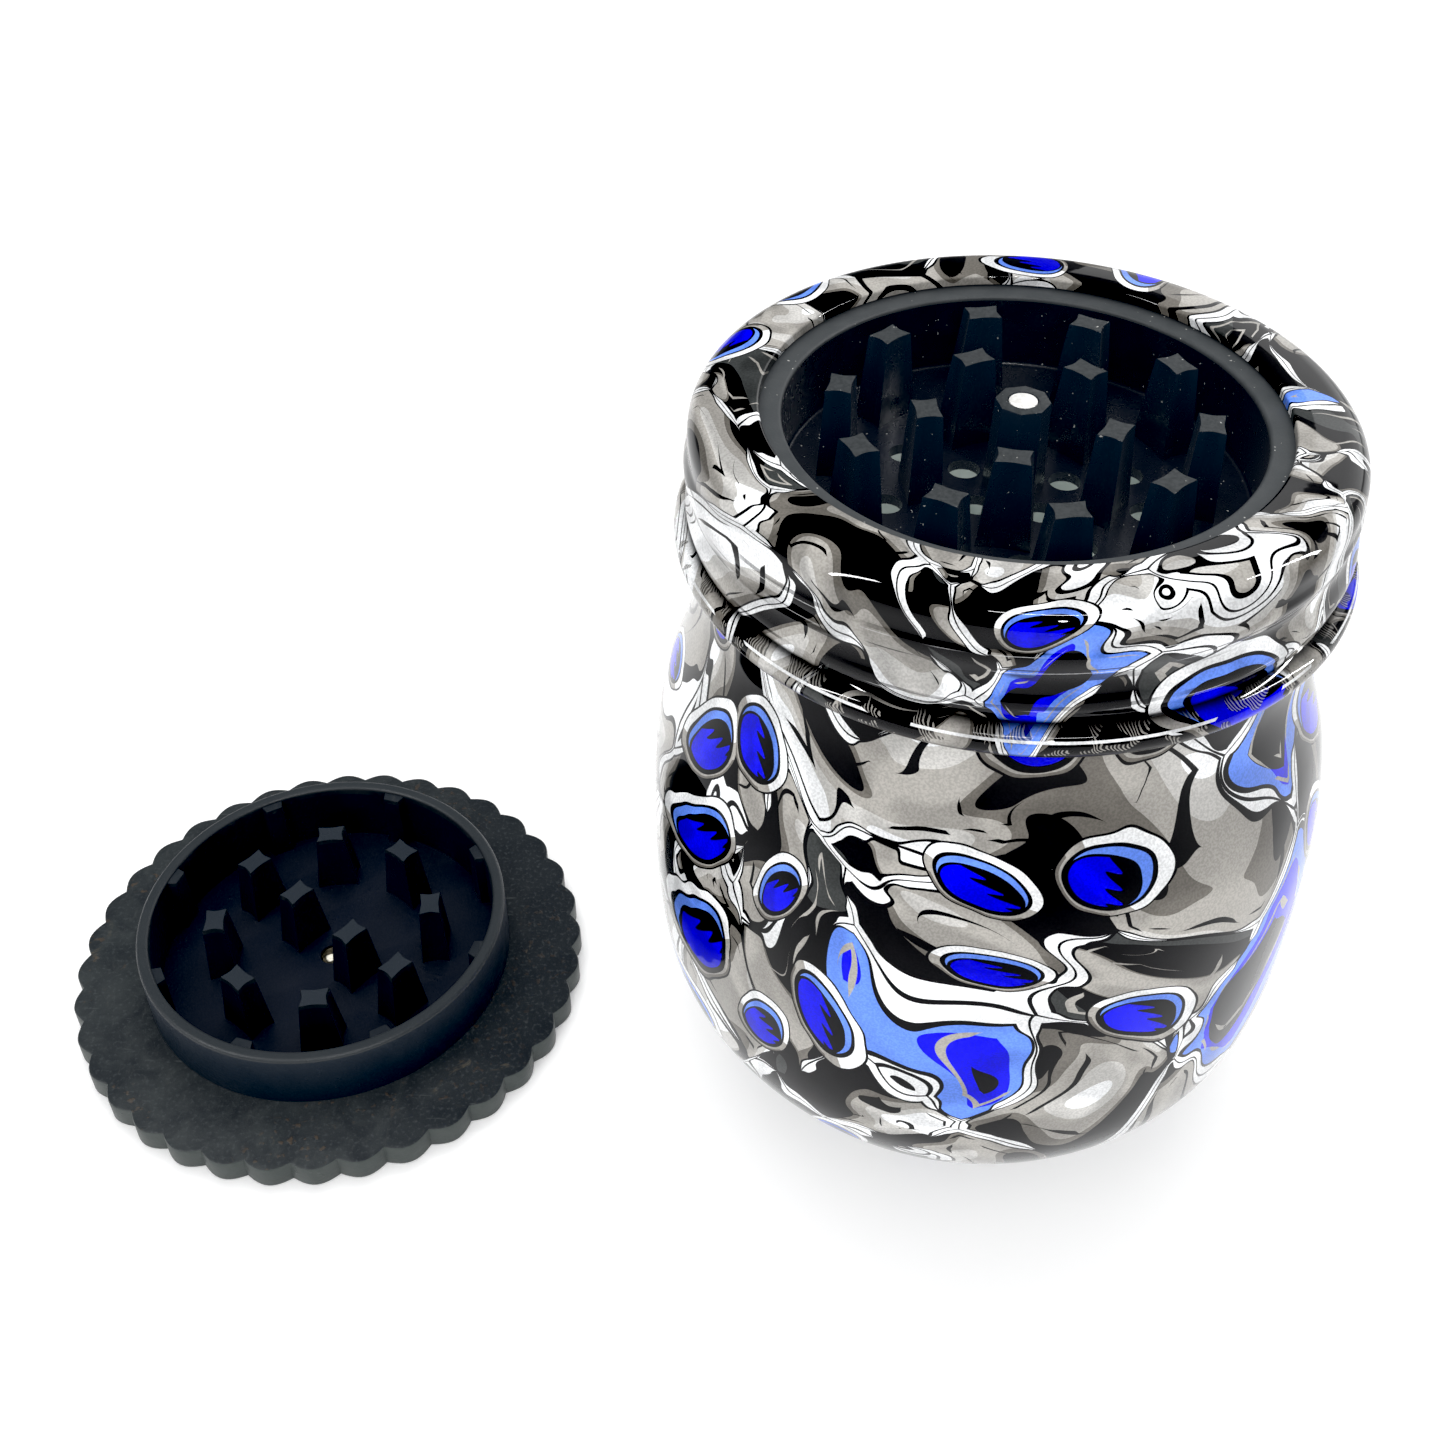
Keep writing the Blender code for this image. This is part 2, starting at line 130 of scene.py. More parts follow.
TOOTH_SUNK = 0.5

# Cap
CAP_SHEET = 3.5
LOBES = 36
LOBE_VALLEY = 33.35
LOBE_DEPTH = 1.12
LOBE_TURN = -3.1
CAP_RECESS = 2.6
SKIRT_OUTER = 24.6
SKIRT_INNER = 22.95
CAP_TEETH = ((8, 14.43, 6.5), (2, 5.48, -38.7))
CAP_TEETH_TOP = 11.55
LUGS = 8
LUG_TURN = 29.4
LUG_TIP = 21.75
LUG_TIP_HALF = 1.1
LUG_ROOT_HALF = 1.7
LUG_FLARE = 0.3
LUG_EDGE = 0.12
CAP_STEPS = 144

# Magnets and gasket
MAGNET_GAP = 0.12
MAGNET_EDGE = 0.12
GASKET_WIDTH = 3.2
GASKET_EDGE = 0.3

# The print's clear coat (weight, refractive index) and how far its soft shading goes (darkest, palest)
JAR_FINISH = (1.0, 1.25, 0.90, 1.30)
BAND_FINISH = (0.66, 1.5, 0.74, 1.12)

# Drawing on the film: the noise that swirls and ripples it, and how far it is moved by them
SWIRL_SIZE = 34.0
SWIRL_REACH = 58.0
RIPPLE_SIZE = 11.0
RIPPLE_REACH = 9.0
PANEL_PITCH = 25.0
# strokes beside the outlines: distance from the outline, the noise values they start and end at, widest
STROKES = ((2.5, 0.50, 0.62, 0.6), (3.7, 0.55, 0.66, 0.5), (6.0, 0.53, 0.68, 0.7))
# ovals: spacing, half length, where the outline starts, and sway
OVAL_PITCH = 15.5
OVAL_HALF = 7.2
OVAL_LINE = 0.955
OVAL_SWAY = 20.0
# their two sheets: how far round the front one goes in radians, the gap between them, and which part of the
# grid each shows
FRONT_REACH = 2.1
SHEET_GAP = 6.0
FRONT_SHIFT = 11.3
BACK_SHIFT = 40.5
# sizes of the halftone grain, the airbrushed shading and the ovals' unevenness
GRAIN_SIZE = 0.26
SHADE_SIZE = 6.5
WOBBLE_SIZE = 3.6

# Print colours, as linear values
INK = (0.004, 0.004, 0.005, 1.0)
PAPER = (0.86, 0.87, 0.88, 1.0)
PALE_GREY = (0.52, 0.51, 0.49, 1.0)
LIGHT_GREY = (0.36, 0.345, 0.32, 1.0)
MID_GREY = (0.15, 0.14, 0.125, 1.0)
DARK_GREY = (0.045, 0.048, 0.048, 1.0)
PALE_BLUE = (0.13, 0.26, 0.84, 1.0)
DEEP_BLUE = (0.004, 0.004, 0.72, 1.0)

# Painted reflection lines along the band's thread, dark and pale: lowest and highest share of a thread's
# turn, colour, strength
THREAD_REFLECTION_LINES = ((0.30, 0.44, INK, 0.75), (0.47, 0.485, PAPER, 0.6), (0.53, 0.56, INK, 0.8),
                (0.80, 0.812, PAPER, 0.45), (0.84, 0.90, INK, 0.6))

# Other colours, as linear values: the darkest and the palest of a patchy surface, or one for a mark
GLASS = ((0.20, 0.235, 0.22, 1.0), (0.32, 0.355, 0.335, 1.0))
GLASS_GLOW = (0.42, 0.50, 0.46, 1.0)
BOWL_BODY = ((0.0045, 0.006, 0.010, 1.0), (0.0065, 0.008, 0.013, 1.0))
BOWL_MATTE = ((0.036, 0.040, 0.042, 1.0), (0.046, 0.050, 0.052, 1.0))
BOWL_WORN = ((0.017, 0.020, 0.021, 1.0), (0.033, 0.037, 0.039, 1.0))
# painted light on the bowl's teeth sides
BOWL_LIT_SIDES = (0.008, 0.015, 0.026, 1.0)
DUST = (0.45, 0.45, 0.43, 1.0)
CAP_BODY = ((0.007, 0.009, 0.012, 1.0), (0.015, 0.018, 0.020, 1.0))
CAP_SIDE = ((0.028, 0.038, 0.034, 1.0), (0.055, 0.064, 0.060, 1.0))
CAP_TOOTH_TOPS = (0.0135, 0.0185, 0.025, 1.0)
CAP_SKIRT = (0.003, 0.009, 0.018, 1.0)
CAP_SKIRT_RIM = (0.021, 0.025, 0.028, 1.0)
CAP_RECESS_SHADE = (0.006, 0.008, 0.014, 1.0)
CAP_FLANGE_SHADE = (0.004, 0.007, 0.009, 1.0)
SCUFFS = (0.045, 0.047, 0.046, 1.0)
CRUMBS = (0.075, 0.045, 0.022, 1.0)
SMEARS = (0.050, 0.058, 0.057, 1.0)
DRIED_GREASE = (0.100, 0.080, 0.052, 1.0)
FINE_SPECKLE = (0.060, 0.068, 0.072, 1.0)
SCRATCHES = (0.10, 0.11, 0.11, 1.0)
NICKEL = ((0.84, 0.83, 0.80, 1.0), (0.96, 0.95, 0.93, 1.0))
GREASE = ((0.035, 0.034, 0.030, 1.0), (0.105, 0.092, 0.066, 1.0))
# the painted highlight on the cap's magnet
PAINTED_HIGHLIGHT_NICKEL = (0.97, 0.93, 0.80, 1.0)
SILICONE = ((0.62, 0.62, 0.60, 1.0), (0.74, 0.74, 0.72, 1.0))
FLOOR = ((0.90, 0.90, 0.90, 1.0), (0.93, 0.93, 0.93, 1.0))
WHITE = (1.0, 1.0, 1.0, 1.0)
BLACK = (0.0, 0.0, 0.0, 1.0)
WORLD = (0.97, 0.98, 1.0, 1.0)
# a faint even painted glow on the two dark plastics, which lifts their deepest shade: its colour, and its
# strengths
PAINTED_GLOW_TINT = (0.95, 1.0, 1.08, 1.0)
BOWL_PAINTED_GLOW = 0.0235
CAP_PAINTED_GLOW = 0.0195

# Studio: half a side of the floor in metres, and how strongly it glows
FLOOR_HALF = 3.0
FLOOR_GLOW = 0.14
# the white sweep round it: where it starts and turns up, how tightly, how high, and how far above the floor
SWEEP_START = 650.0
SWEEP_TURN = 2400.0
SWEEP_BEND = 400.0
SWEEP_HEIGHT = 3000.0
SWEEP_LIFT = 0.5
SWEEP_GLOW = 1.1
WORLD_STRENGTH = 0.22
# lamps: name, place, target, size in metres, watts, seen in reflections, lights surfaces
MIDDLE = (-0.03, 0.0, 0.04)
LAMPS = (
    ("overhead", (-0.05, 0.05, 1.10), (-0.05, 0.05, 0.0), (1.5, 1.5), 12.0, False, True),
    ("back_wash", (0.0, 1.30, 1.40), (0.0, 1.30, 0.0), (2.6, 1.6), 22.0, False, True),
    ("front_fill", (-0.15, -0.95, 0.75), MIDDLE, (0.9, 0.6), 6.5, False, True),
    ("strip_left", (-0.62, -0.30, 0.62), MIDDLE, (0.03, 0.60), 3.0, True, False),
    ("strip_front", (0.10, -0.62, 0.98), MIDDLE, (0.55, 0.02), 2.5, True, False),
    ("strip_right", (0.66, 0.05, 0.45), MIDDLE, (0.03, 0.50), 3.0, True, False),
    ("veil_right", (0.733, 0.909, 0.461), (0.03, 0.01, 0.09), (1.07, 0.69), 3.3, True, False),
    ("spot_front", (0.14, -0.75, 0.62), MIDDLE, (0.035, 0.035), 1.2, True, False),
)
# camera: place in metres, yaw, pitch and roll in degrees, sensor and lens in millimetres, shift
CAMERA_PLACE = (-0.02946, -0.14974, 0.18628)
CAMERA_TURN = (2.07, 39.41, -1.09)
CAMERA_SENSOR = 36.0
CAMERA_LENS = 41.97
CAMERA_SHIFT = (0.0220, -0.0720)
CAMERA_CLIP = 0.01
# darkest light that the picture still shows, as a linear value
BLACK_POINT = 0.03


# ---------------------------------------------------------------- shapes

def smooth_line(points, steps):
    """Points on a smooth curve through the given ones."""
    padded = [points[0], *points, points[-1]]
    line = []
    for before, start, end, after in zip(padded, padded[1:], padded[2:], padded[3:]):
        for step in range(steps):
            t = step / steps
            line.append(tuple(
                0.5 * (2 * s + (e - b) * t + (2 * b - 5 * s + 4 * e - a) * t ** 2
                       + (3 * s - b - 3 * e + a) * t ** 3)
                for b, s, e, a in zip(before, start, end, after)))
    line.append(points[-1])
    return line


def arc(radius, height, size, start, end, steps):
    """Points on an arc round (radius, height), between two angles in degrees."""
    angles = [math.radians(start + (end - start) * step / steps) for step in range(steps + 1)]
    return [(radius + size * math.cos(angle), height + size * math.sin(angle)) for angle in angles]


def rows(radius_low, radius_high, span, count):
    """Evenly spaced points up a straight wall, so that a thread can be rolled into it."""
    low, high = span
    return [(radius_low + (radius_high - radius_low) * row / count, low + (high - low) * row / count)
            for row in range(count + 1)]


def turned_mesh(name, outline, steps, closed=True):
    """A mesh turned about Z from a profile of (radius, height), which closes on itself or is left open."""
    vertices = []
    rings = []
    for radius, height in outline:
        if radius == 0.0:
            rings.append([len(vertices)] * steps)
            vertices.append((0.0, 0.0, height * MM))
            continue
        rings.append(list(range(len(vertices), len(vertices) + steps)))
        for step in range(steps):
            angle = 2 * math.pi * step / steps
            vertices.append((radius * math.cos(angle) * MM, radius * math.sin(angle) * MM, height * MM))
    faces = []
    pairs = list(zip(rings, rings[1:]))
    if closed:
        pairs.append((rings[-1], rings[0]))
    for low, high in pairs:
        for step in range(steps):
            after = (step + 1) % steps
            corners = [low[step], low[after], high[after], high[step]]
            corners = [c for place, c in enumerate(corners) if c != corners[place - 1]]
            faces.append(corners)
    mesh = bpy.data.meshes.new(name)
    mesh.from_pydata(vertices, [], faces)
    work = bmesh.new()
    work.from_mesh(mesh)
    return finish_mesh(work, name, mesh)


def thread_wave(height, angle, span):
    """How far the thread stands out at this height and angle. It fades out at both ends of its span."""
    low, high = span
    fade = min(1.0, max(0.0, (height - low) / THREAD_FADE), max(0.0, (high - height) / THREAD_FADE))
    fade = fade * fade * (3 - 2 * fade)
    return THREAD_HEIGHT * fade * math.cos(2 * math.pi * height / THREAD_PITCH - angle)


def roll_thread(mesh, span, inside_limit):
    """Rolls the thread into the walls that are further out than the limit."""
    for vertex in mesh.vertices:
        radius = math.hypot(vertex.co.x, vertex.co.y)
        height = vertex.co.z / MM
        if radius < inside_limit * MM or not span[0] < height < span[1]:
            continue
        grow = 1 + thread_wave(height, math.atan2(vertex.co.y, vertex.co.x), span) * MM / radius
        vertex.co.x *= grow
        vertex.co.y *= grow


def new_object(name, data):
    """A new object in the scene, of a mesh, a light or a camera."""
    obj = bpy.data.objects.new(name, data)
    bpy.context.scene.collection.objects.link(obj)
    return obj


def shade_smooth(obj, angle=30.0):
    """Smooth shading, with edges sharper than the angle left crisp."""
    obj.data.polygons.foreach_set("use_smooth", [True] * len(obj.data.polygons))
    obj.data.set_sharp_from_angle(angle=math.radians(angle))


def finish_mesh(work, name, mesh=None):
    """Writes what has been built to the mesh, or to a new one, with its faces outward."""
    bmesh.ops.recalc_face_normals(work, faces=work.faces)
    mesh = mesh or bpy.data.meshes.new(name)
    work.to_mesh(mesh)
    work.free()
    return mesh


def turned_place(angle, radius):
    """The place at this radius, turned by an angle in degrees about Z."""
    return Matrix.Rotation(math.radians(angle), 4, "Z") @ Matrix.Translation((radius * MM, 0.0, 0.0))


def add_frustum(work, low_points, high_points, low, high, place, edge=0.0):
    """A solid between two outlines, with softened upper edges."""
    bottom = [work.verts.new(place @ Vector((x * MM, y * MM, low * MM))) for x, y in low_points]
    top = [work.verts.new(place @ Vector((x * MM, y * MM, high * MM))) for x, y in high_points]
    work.faces.new(bottom[::-1])
    lid = work.faces.new(top)
    count = len(bottom)
    for side in range(count):
        after = (side + 1) % count
        work.faces.new((bottom[side], bottom[after], top[after], top[side]))
    if edge:
        bmesh.ops.bevel(work, geom=list(lid.edges), offset=edge * MM, segments=2, profile=0.5,
                        affect="EDGES", clamp_overlap=True)


def tooth_outline(radial, across, points_per_side=6):
    """A tooth's section: a rectangle with slightly hollow sides."""
    corners = [(radial, across), (-radial, across), (-radial, -across), (radial, -across)]
    points = []
    for start, end in zip(corners, corners[1:] + corners[:1]):
        for step in range(points_per_side):
            t = step / points_per_side
            dip = 1 - TOOTH_HOLLOW * 4 * t * (1 - t) / max(radial, across)
            points.append(tuple(dip * (a + (b - a) * t) for a, b in zip(start, end)))
    return points


def teeth_mesh(rings, floor, high):
    """Teeth in rings, sunk a little into the floor that they stand on."""
    work = bmesh.new()
    tip = tooth_outline(TOOTH_RADIAL, TOOTH_ACROSS)
    root = tooth_outline(TOOTH_RADIAL + TOOTH_FLARE_RADIAL, TOOTH_ACROSS + TOOTH_FLARE_ACROSS)
    for count, radius, first in rings:
        for number in range(count):
            place = turned_place(first + number * 360 / count, radius)
            add_frustum(work, root, tip, floor - TOOTH_SUNK, high, place, TOOTH_EDGE)
    return finish_mesh(work, "teeth")


def cylinder_mesh(places, radius, low, high, sides):
    """Upright cylinders at the given (radius, angle) places."""
    work = bmesh.new()
    for ring, angle in places:
        spot = turned_place(angle, ring) @ Matrix.Translation((0, 0, (low + high) / 2 * MM))
        bmesh.ops.create_cone(work, cap_ends=True, segments=sides, radius1=radius * MM, radius2=radius * MM,
                              depth=(high - low) * MM, matrix=spot)
    return finish_mesh(work, "cylinders")


def combine(obj, operations):
    """Joins each mesh in turn to the object, or cuts it away, and keeps the result."""
    helpers = []
    for operation, mesh in operations:
        helper = new_object("helper", mesh)
        helpers.append(helper)
        modifier = obj.modifiers.new(operation.lower(), "BOOLEAN")
        modifier.operation = operation
        modifier.object = helper
        modifier.solver = "EXACT"
    bpy.context.view_layer.update()
    graph = bpy.context.evaluated_depsgraph_get()
    mesh = bpy.data.meshes.new_from_object(obj.evaluated_get(graph), depsgraph=graph)
    obj.modifiers.clear()
    obj.data = mesh
    for helper in helpers:
        bpy.data.objects.remove(helper)
    work = bmesh.new()
    work.from_mesh(mesh)
    bmesh.ops.remove_doubles(work, verts=work.verts, dist=MERGE)
    work.to_mesh(mesh)
    work.free()
    mesh.materials.clear()


def place_piece(obj, body, node, material, centre=0.0):
    """Moves the piece to its centre on X and says what it rides on, replaces and is made of."""
    if centre:
        obj.data.transform(Matrix.Translation((centre * MM, 0.0, 0.0)))
    obj.data.materials.append(material)
    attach(obj, body)
    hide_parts(node)


# ---------------------------------------------------------------- materials

class Graph:
    """A material's node tree, written as sums. A mask is 0 or 1 at each point."""

    def __init__(self, name):
        self.material = bpy.data.materials.new(name)
        self.material.use_nodes = True
        self.tree = self.material.node_tree
        self.shader = self.tree.nodes["Principled BSDF"]

    def feed(self, socket, value):
        if isinstance(value, bpy.types.NodeSocket):
            self.tree.links.new(value, socket)
        else:
            socket.default_value = value

    def node(self, kind, settings=None, **inputs):
        node = self.tree.nodes.new(kind)
        for key, value in (settings or {}).items():
            setattr(node, key, value)
        for key, value in inputs.items():
            self.feed(node.inputs[key.replace("_", " ")], value)
        return node

    def math(self, operation, *values):
        node = self.tree.nodes.new("ShaderNodeMath")
        node.operation = operation
        for socket, value in zip(node.inputs, values):
            self.feed(socket, value)
        return node.outputs[0]

    def length(self, a, b):
        """The length of (a, b)."""
        return self.math("SQRT", self.add(self.mul(a, a), self.mul(b, b)))

    def add(self, a, b):
        return self.math("ADD", a, b)

    def sub(self, a, b):
        return self.math("SUBTRACT", a, b)

    def mul(self, a, b):
        return self.math("MULTIPLY", a, b)

    def over(self, a, limit):
        return self.math("GREATER_THAN", a, limit)

    def under(self, a, limit):
        return self.math("LESS_THAN", a, limit)

    def between(self, a, low, high):
        return self.mul(self.over(a, low), self.under(a, high))

    def ramp(self, value, low, high, to_low=0.0, to_high=1.0):
        """A smooth step between two values."""
        node = self.tree.nodes.new("ShaderNodeMapRange")
        node.interpolation_type = "SMOOTHSTEP"
        for key, item in (("Value", value), ("From Min", low), ("From Max", high), ("To Min", to_low),
                          ("To Max", to_high)):
            self.feed(node.inputs[key], item)
        return node.outputs[0]

    def mix(self, factor, low, high):
        node = self.tree.nodes.new("ShaderNodeMix")
        node.data_type = "RGBA"
        self.feed(node.inputs[0], factor)
        self.feed(node.inputs[6], low)
        self.feed(node.inputs[7], high)
        return node.outputs[2]

    def patchy(self, cloud, colours, low=0.3, high=0.7):
        """Between two colours, as a noise goes."""
        return self.mix(self.ramp(cloud, low, high), *colours)

    def vector(self, operation, a, b=None, scale=None):
        node = self.tree.nodes.new("ShaderNodeVectorMath")
        node.operation = operation
        self.feed(node.inputs[0], a)
        if b is not None:
            self.feed(node.inputs[1], b)
        if scale is not None:
            self.feed(node.inputs["Scale"], scale)
        return node.outputs[0]

    def parts(self, vector):
        node = self.node("ShaderNodeSeparateXYZ", Vector=vector)
        return node.outputs[0], node.outputs[1], node.outputs[2]

    def joined(self, x, y, z=0.0):
        node = self.tree.nodes.new("ShaderNodeCombineXYZ")
        for socket, value in zip(node.inputs, (x, y, z)):
            self.feed(socket, value)
        return node.outputs[0]

    def place(self):
        """Where the point is on the piece, in millimetres."""
        source = self.node("ShaderNodeTexCoord").outputs["Object"]
        return self.vector("SCALE", source, scale=1 / MM)

    def upward(self):
        """How far the surface faces the piece's own +Z, from -1 to 1, whatever the piece's pose."""
        normal = self.node("ShaderNodeTexCoord").outputs["Normal"]
        return self.parts(normal)[2]

    def noise(self, vector, size, detail=0.0, roughness=0.5, distortion=0.0, colour=False):
        """Smooth noise of this size, as a value or as a colour."""
        node = self.node("ShaderNodeTexNoise", Vector=vector, Scale=1.0 / size, Detail=detail,
                         Roughness=roughness, Distortion=distortion)
        return node.outputs[1 if colour else 0]

    def sway(self, noise, reach):
        """A noise's colour as a shift of up to half the reach either way."""
        return self.vector("SCALE", self.vector("SUBTRACT", noise, (0.5, 0.5, 0.5)), scale=reach)

    def bump(self, height, strength, distance):
        """A fine unevenness. The distance is in metres."""
        node = self.node("ShaderNodeBump", Height=height, Strength=strength, Distance=distance)
        self.tree.links.new(node.outputs[0], self.shader.inputs["Normal"])

    def set(self, **values):
        """Sets or feeds the shader's own sockets."""
        for key, value in values.items():
            self.feed(self.shader.inputs[key.replace("_", " ")], value)

    def painted_glow(self, strength):
        """A faint even painted glow, which lifts the deepest shade so that its detail isn't lost."""
        self.set(Emission_Color=PAINTED_GLOW_TINT, Emission_Strength=strength)


def around_front(g, x, y, radius):
    """How far round a wall of this radius from its front, negative on the left."""
    return g.mul(g.math("ARCTAN2", x, g.mul(y, -1.0)), radius)


def offset_reach(g, a, b, shift_a, shift_b):
    """How far out a point is on an ellipse whose centre is moved, as a share of its half axes."""
    return g.length(g.add(a, shift_a), g.add(b, shift_b))


def draw_ovals(g, ground, u, v, wobble, shift, limit, share):
    """Blue ovals with a pale rim over the ground colour, in some cells of a grid on the sheet (u, v).

    The sheet ends at the limit to each side, and an oval is either whole or not there."""
    spot = g.joined(g.add(g.mul(u, 1 / OVAL_PITCH), shift), g.mul(v, 1 / OVAL_PITCH))
    cells = g.node("ShaderNodeTexVoronoi", {"voronoi_dimensions": "2D", "feature": "F1"}, Vector=spot,
                   Scale=1.0, Randomness=0.42)
    centre = cells.outputs["Position"]
    red, green, blue = g.parts(cells.outputs["Color"])
    x, y, _ = g.parts(g.vector("SCALE", g.vector("SUBTRACT", spot, centre), scale=OVAL_PITCH))
    angle = g.mul(g.sub(red, 0.5), 1.7)
    cosine = g.math("COSINE", angle)
    sine = g.math("SINE", angle)
    along = g.add(g.mul(x, cosine), g.mul(y, sine))
    across = g.sub(g.mul(y, cosine), g.mul(x, sine))
    half = g.ramp(green, 0.0, 1.0, OVAL_HALF * 0.78, OVAL_HALF)
    flat = g.ramp(g.math("FRACT", g.mul(green, 7.0)), 0.0, 1.0, 0.64, 0.86)
    a = g.math("DIVIDE", along, half)
    b = g.math("DIVIDE", across, g.mul(half, flat))
    bent = g.mul(g.sub(wobble, 0.5), 0.22)
    reach = g.add(offset_reach(g, a, b, 0.0, 0.0), bent)
    inner = g.add(offset_reach(g, a, b, 0.03, 0.05), g.mul(bent, 0.6))
    core = g.add(offset_reach(g, a, b, 0.07, 0.21), g.mul(bent, 0.6))
    finger = g.mul(g.math("SINE", g.add(g.mul(b, 21.0), g.mul(a, 3.0))), 0.17)
    edge = g.add(g.add(a, g.mul(b, 0.7)), finger)
    lit = g.over(g.add(b, g.mul(a, 0.5)), -0.12)
    rim = g.mix(lit, LIGHT_GREY, PAPER)
    rim = g.mix(g.mul(g.under(g.add(b, g.mul(a, 0.5)), -0.55), g.over(reach, 0.9)), rim, MID_GREY)
    colour = g.mix(g.under(reach, OVAL_LINE), INK, rim)
    colour = g.mix(g.under(inner, 0.80), colour, INK)
    colour = g.mix(g.under(inner, 0.725), colour, PALE_BLUE)
    colour = g.mix(g.mul(g.under(core, 0.70), g.under(inner, 0.725)), colour, INK)
    inside = g.mul(g.under(core, 0.645), g.under(inner, 0.67))
    colour = g.mix(g.mul(inside, g.under(edge, 0.06)), colour, DEEP_BLUE)
    centre_u, _, _ = g.parts(g.vector("SCALE", centre, scale=OVAL_PITCH))
    centre_u = g.sub(centre_u, shift * OVAL_PITCH)
    shown = g.mul(g.under(blue, share), g.under(reach, 1.0))
    shown = g.mul(shown, g.between(centre_u, -limit, limit))
    return g.mix(shown, ground, colour)


def panel_colour(g, kind, field, edge, streak, black_from, blue_from):
    """The colour inside a panel: grey with a dark wave, black, or blue with a pale border."""
    grey = g.mix(g.over(field, 0.53), LIGHT_GREY, MID_GREY)
    grey = g.mix(g.over(field, 0.575), grey, INK)
    grey = g.mix(g.under(field, 0.42), grey, PALE_GREY)
    grey = g.mix(g.under(field, 0.345), grey, PAPER)
    black = g.mix(g.over(field, 0.56), INK, DARK_GREY)
    black = g.mix(g.under(field, 0.375), black, MID_GREY)
    black = g.mix(g.under(field, 0.36), black, LIGHT_GREY)
    blue = g.mix(g.over(g.add(edge, g.mul(streak, 6.0)), 6.3), PALE_BLUE, DEEP_BLUE)
    blue = g.mix(g.over(g.add(edge, g.mul(field, 8.0)), 9.0), blue, INK)
    colour = g.mix(g.over(kind, black_from), grey, black)
    return g.mix(g.over(kind, blue_from), colour, blue)


def band_details(g, colour, x, y, z):
    """The band's film: hatching on the bead from rolling, with painted shade in the groove above the bead and
    under it, a painted highlight line along the bead's top, and painted reflection lines along the thread
    above.
    """
    around = around_front(g, x, y, BAND_RADIUS)
    zone = g.noise(g.joined(g.mul(around, 0.35), z), 2.2)
    patch = g.noise(g.joined(g.add(around, 200.0), g.mul(z, 1.5)), 2.6, detail=1.0)
    slant = g.add(g.add(around, g.mul(z, 0.5)), g.mul(patch, 2.4))
    hatch = g.over(g.math("SINE", g.mul(slant, 17.0)), 0.25)
    on_bead = g.under(z, BEAD_HEIGHT + BEAD_HALF + 0.8)
    hatched = g.mul(on_bead, g.over(patch, 0.57))
    colour = g.mix(g.mul(hatched, 0.7), colour, g.mix(hatch, INK, LIGHT_GREY))
    # a painted highlight line along the bead's top, in patches
    shine = g.mul(g.between(z, BEAD_HEIGHT + 0.75, BEAD_HEIGHT + 1.0), g.under(zone, 0.54))
    colour = g.mix(g.mul(shine, 0.9), colour, PAPER)
    angle = g.mul(around, 1 / (2 * math.pi * BAND_RADIUS))
    turn = g.math("FRACT", g.sub(g.mul(z, 1 / THREAD_PITCH), angle))
    on_thread = g.between(z, BAND_THREAD[0], BAND_THREAD[1] - 0.4)
    # painted reflection lines, dark and pale, that follow the thread's turns, in patches
    for low, high, look, strength in THREAD_REFLECTION_LINES:
        line = g.mul(g.between(turn, low, high), on_thread)
        colour = g.mix(g.mul(line, g.ramp(zone, 0.40, 0.58, 0.0, strength)), colour, look)
    # painted shade in the groove above the bead
    away = g.math("ABSOLUTE", g.sub(z, BEAD_HEIGHT + BEAD_HALF + 0.45))
    colour = g.mix(g.ramp(away, 0.10, 0.85, 0.92, 0.0), colour, INK)
    # painted shade under the bead
    return g.mix(g.ramp(z, BEAD_HEIGHT - 1.2, BEAD_HEIGHT - 0.3, 0.9, 0.0), colour, INK)


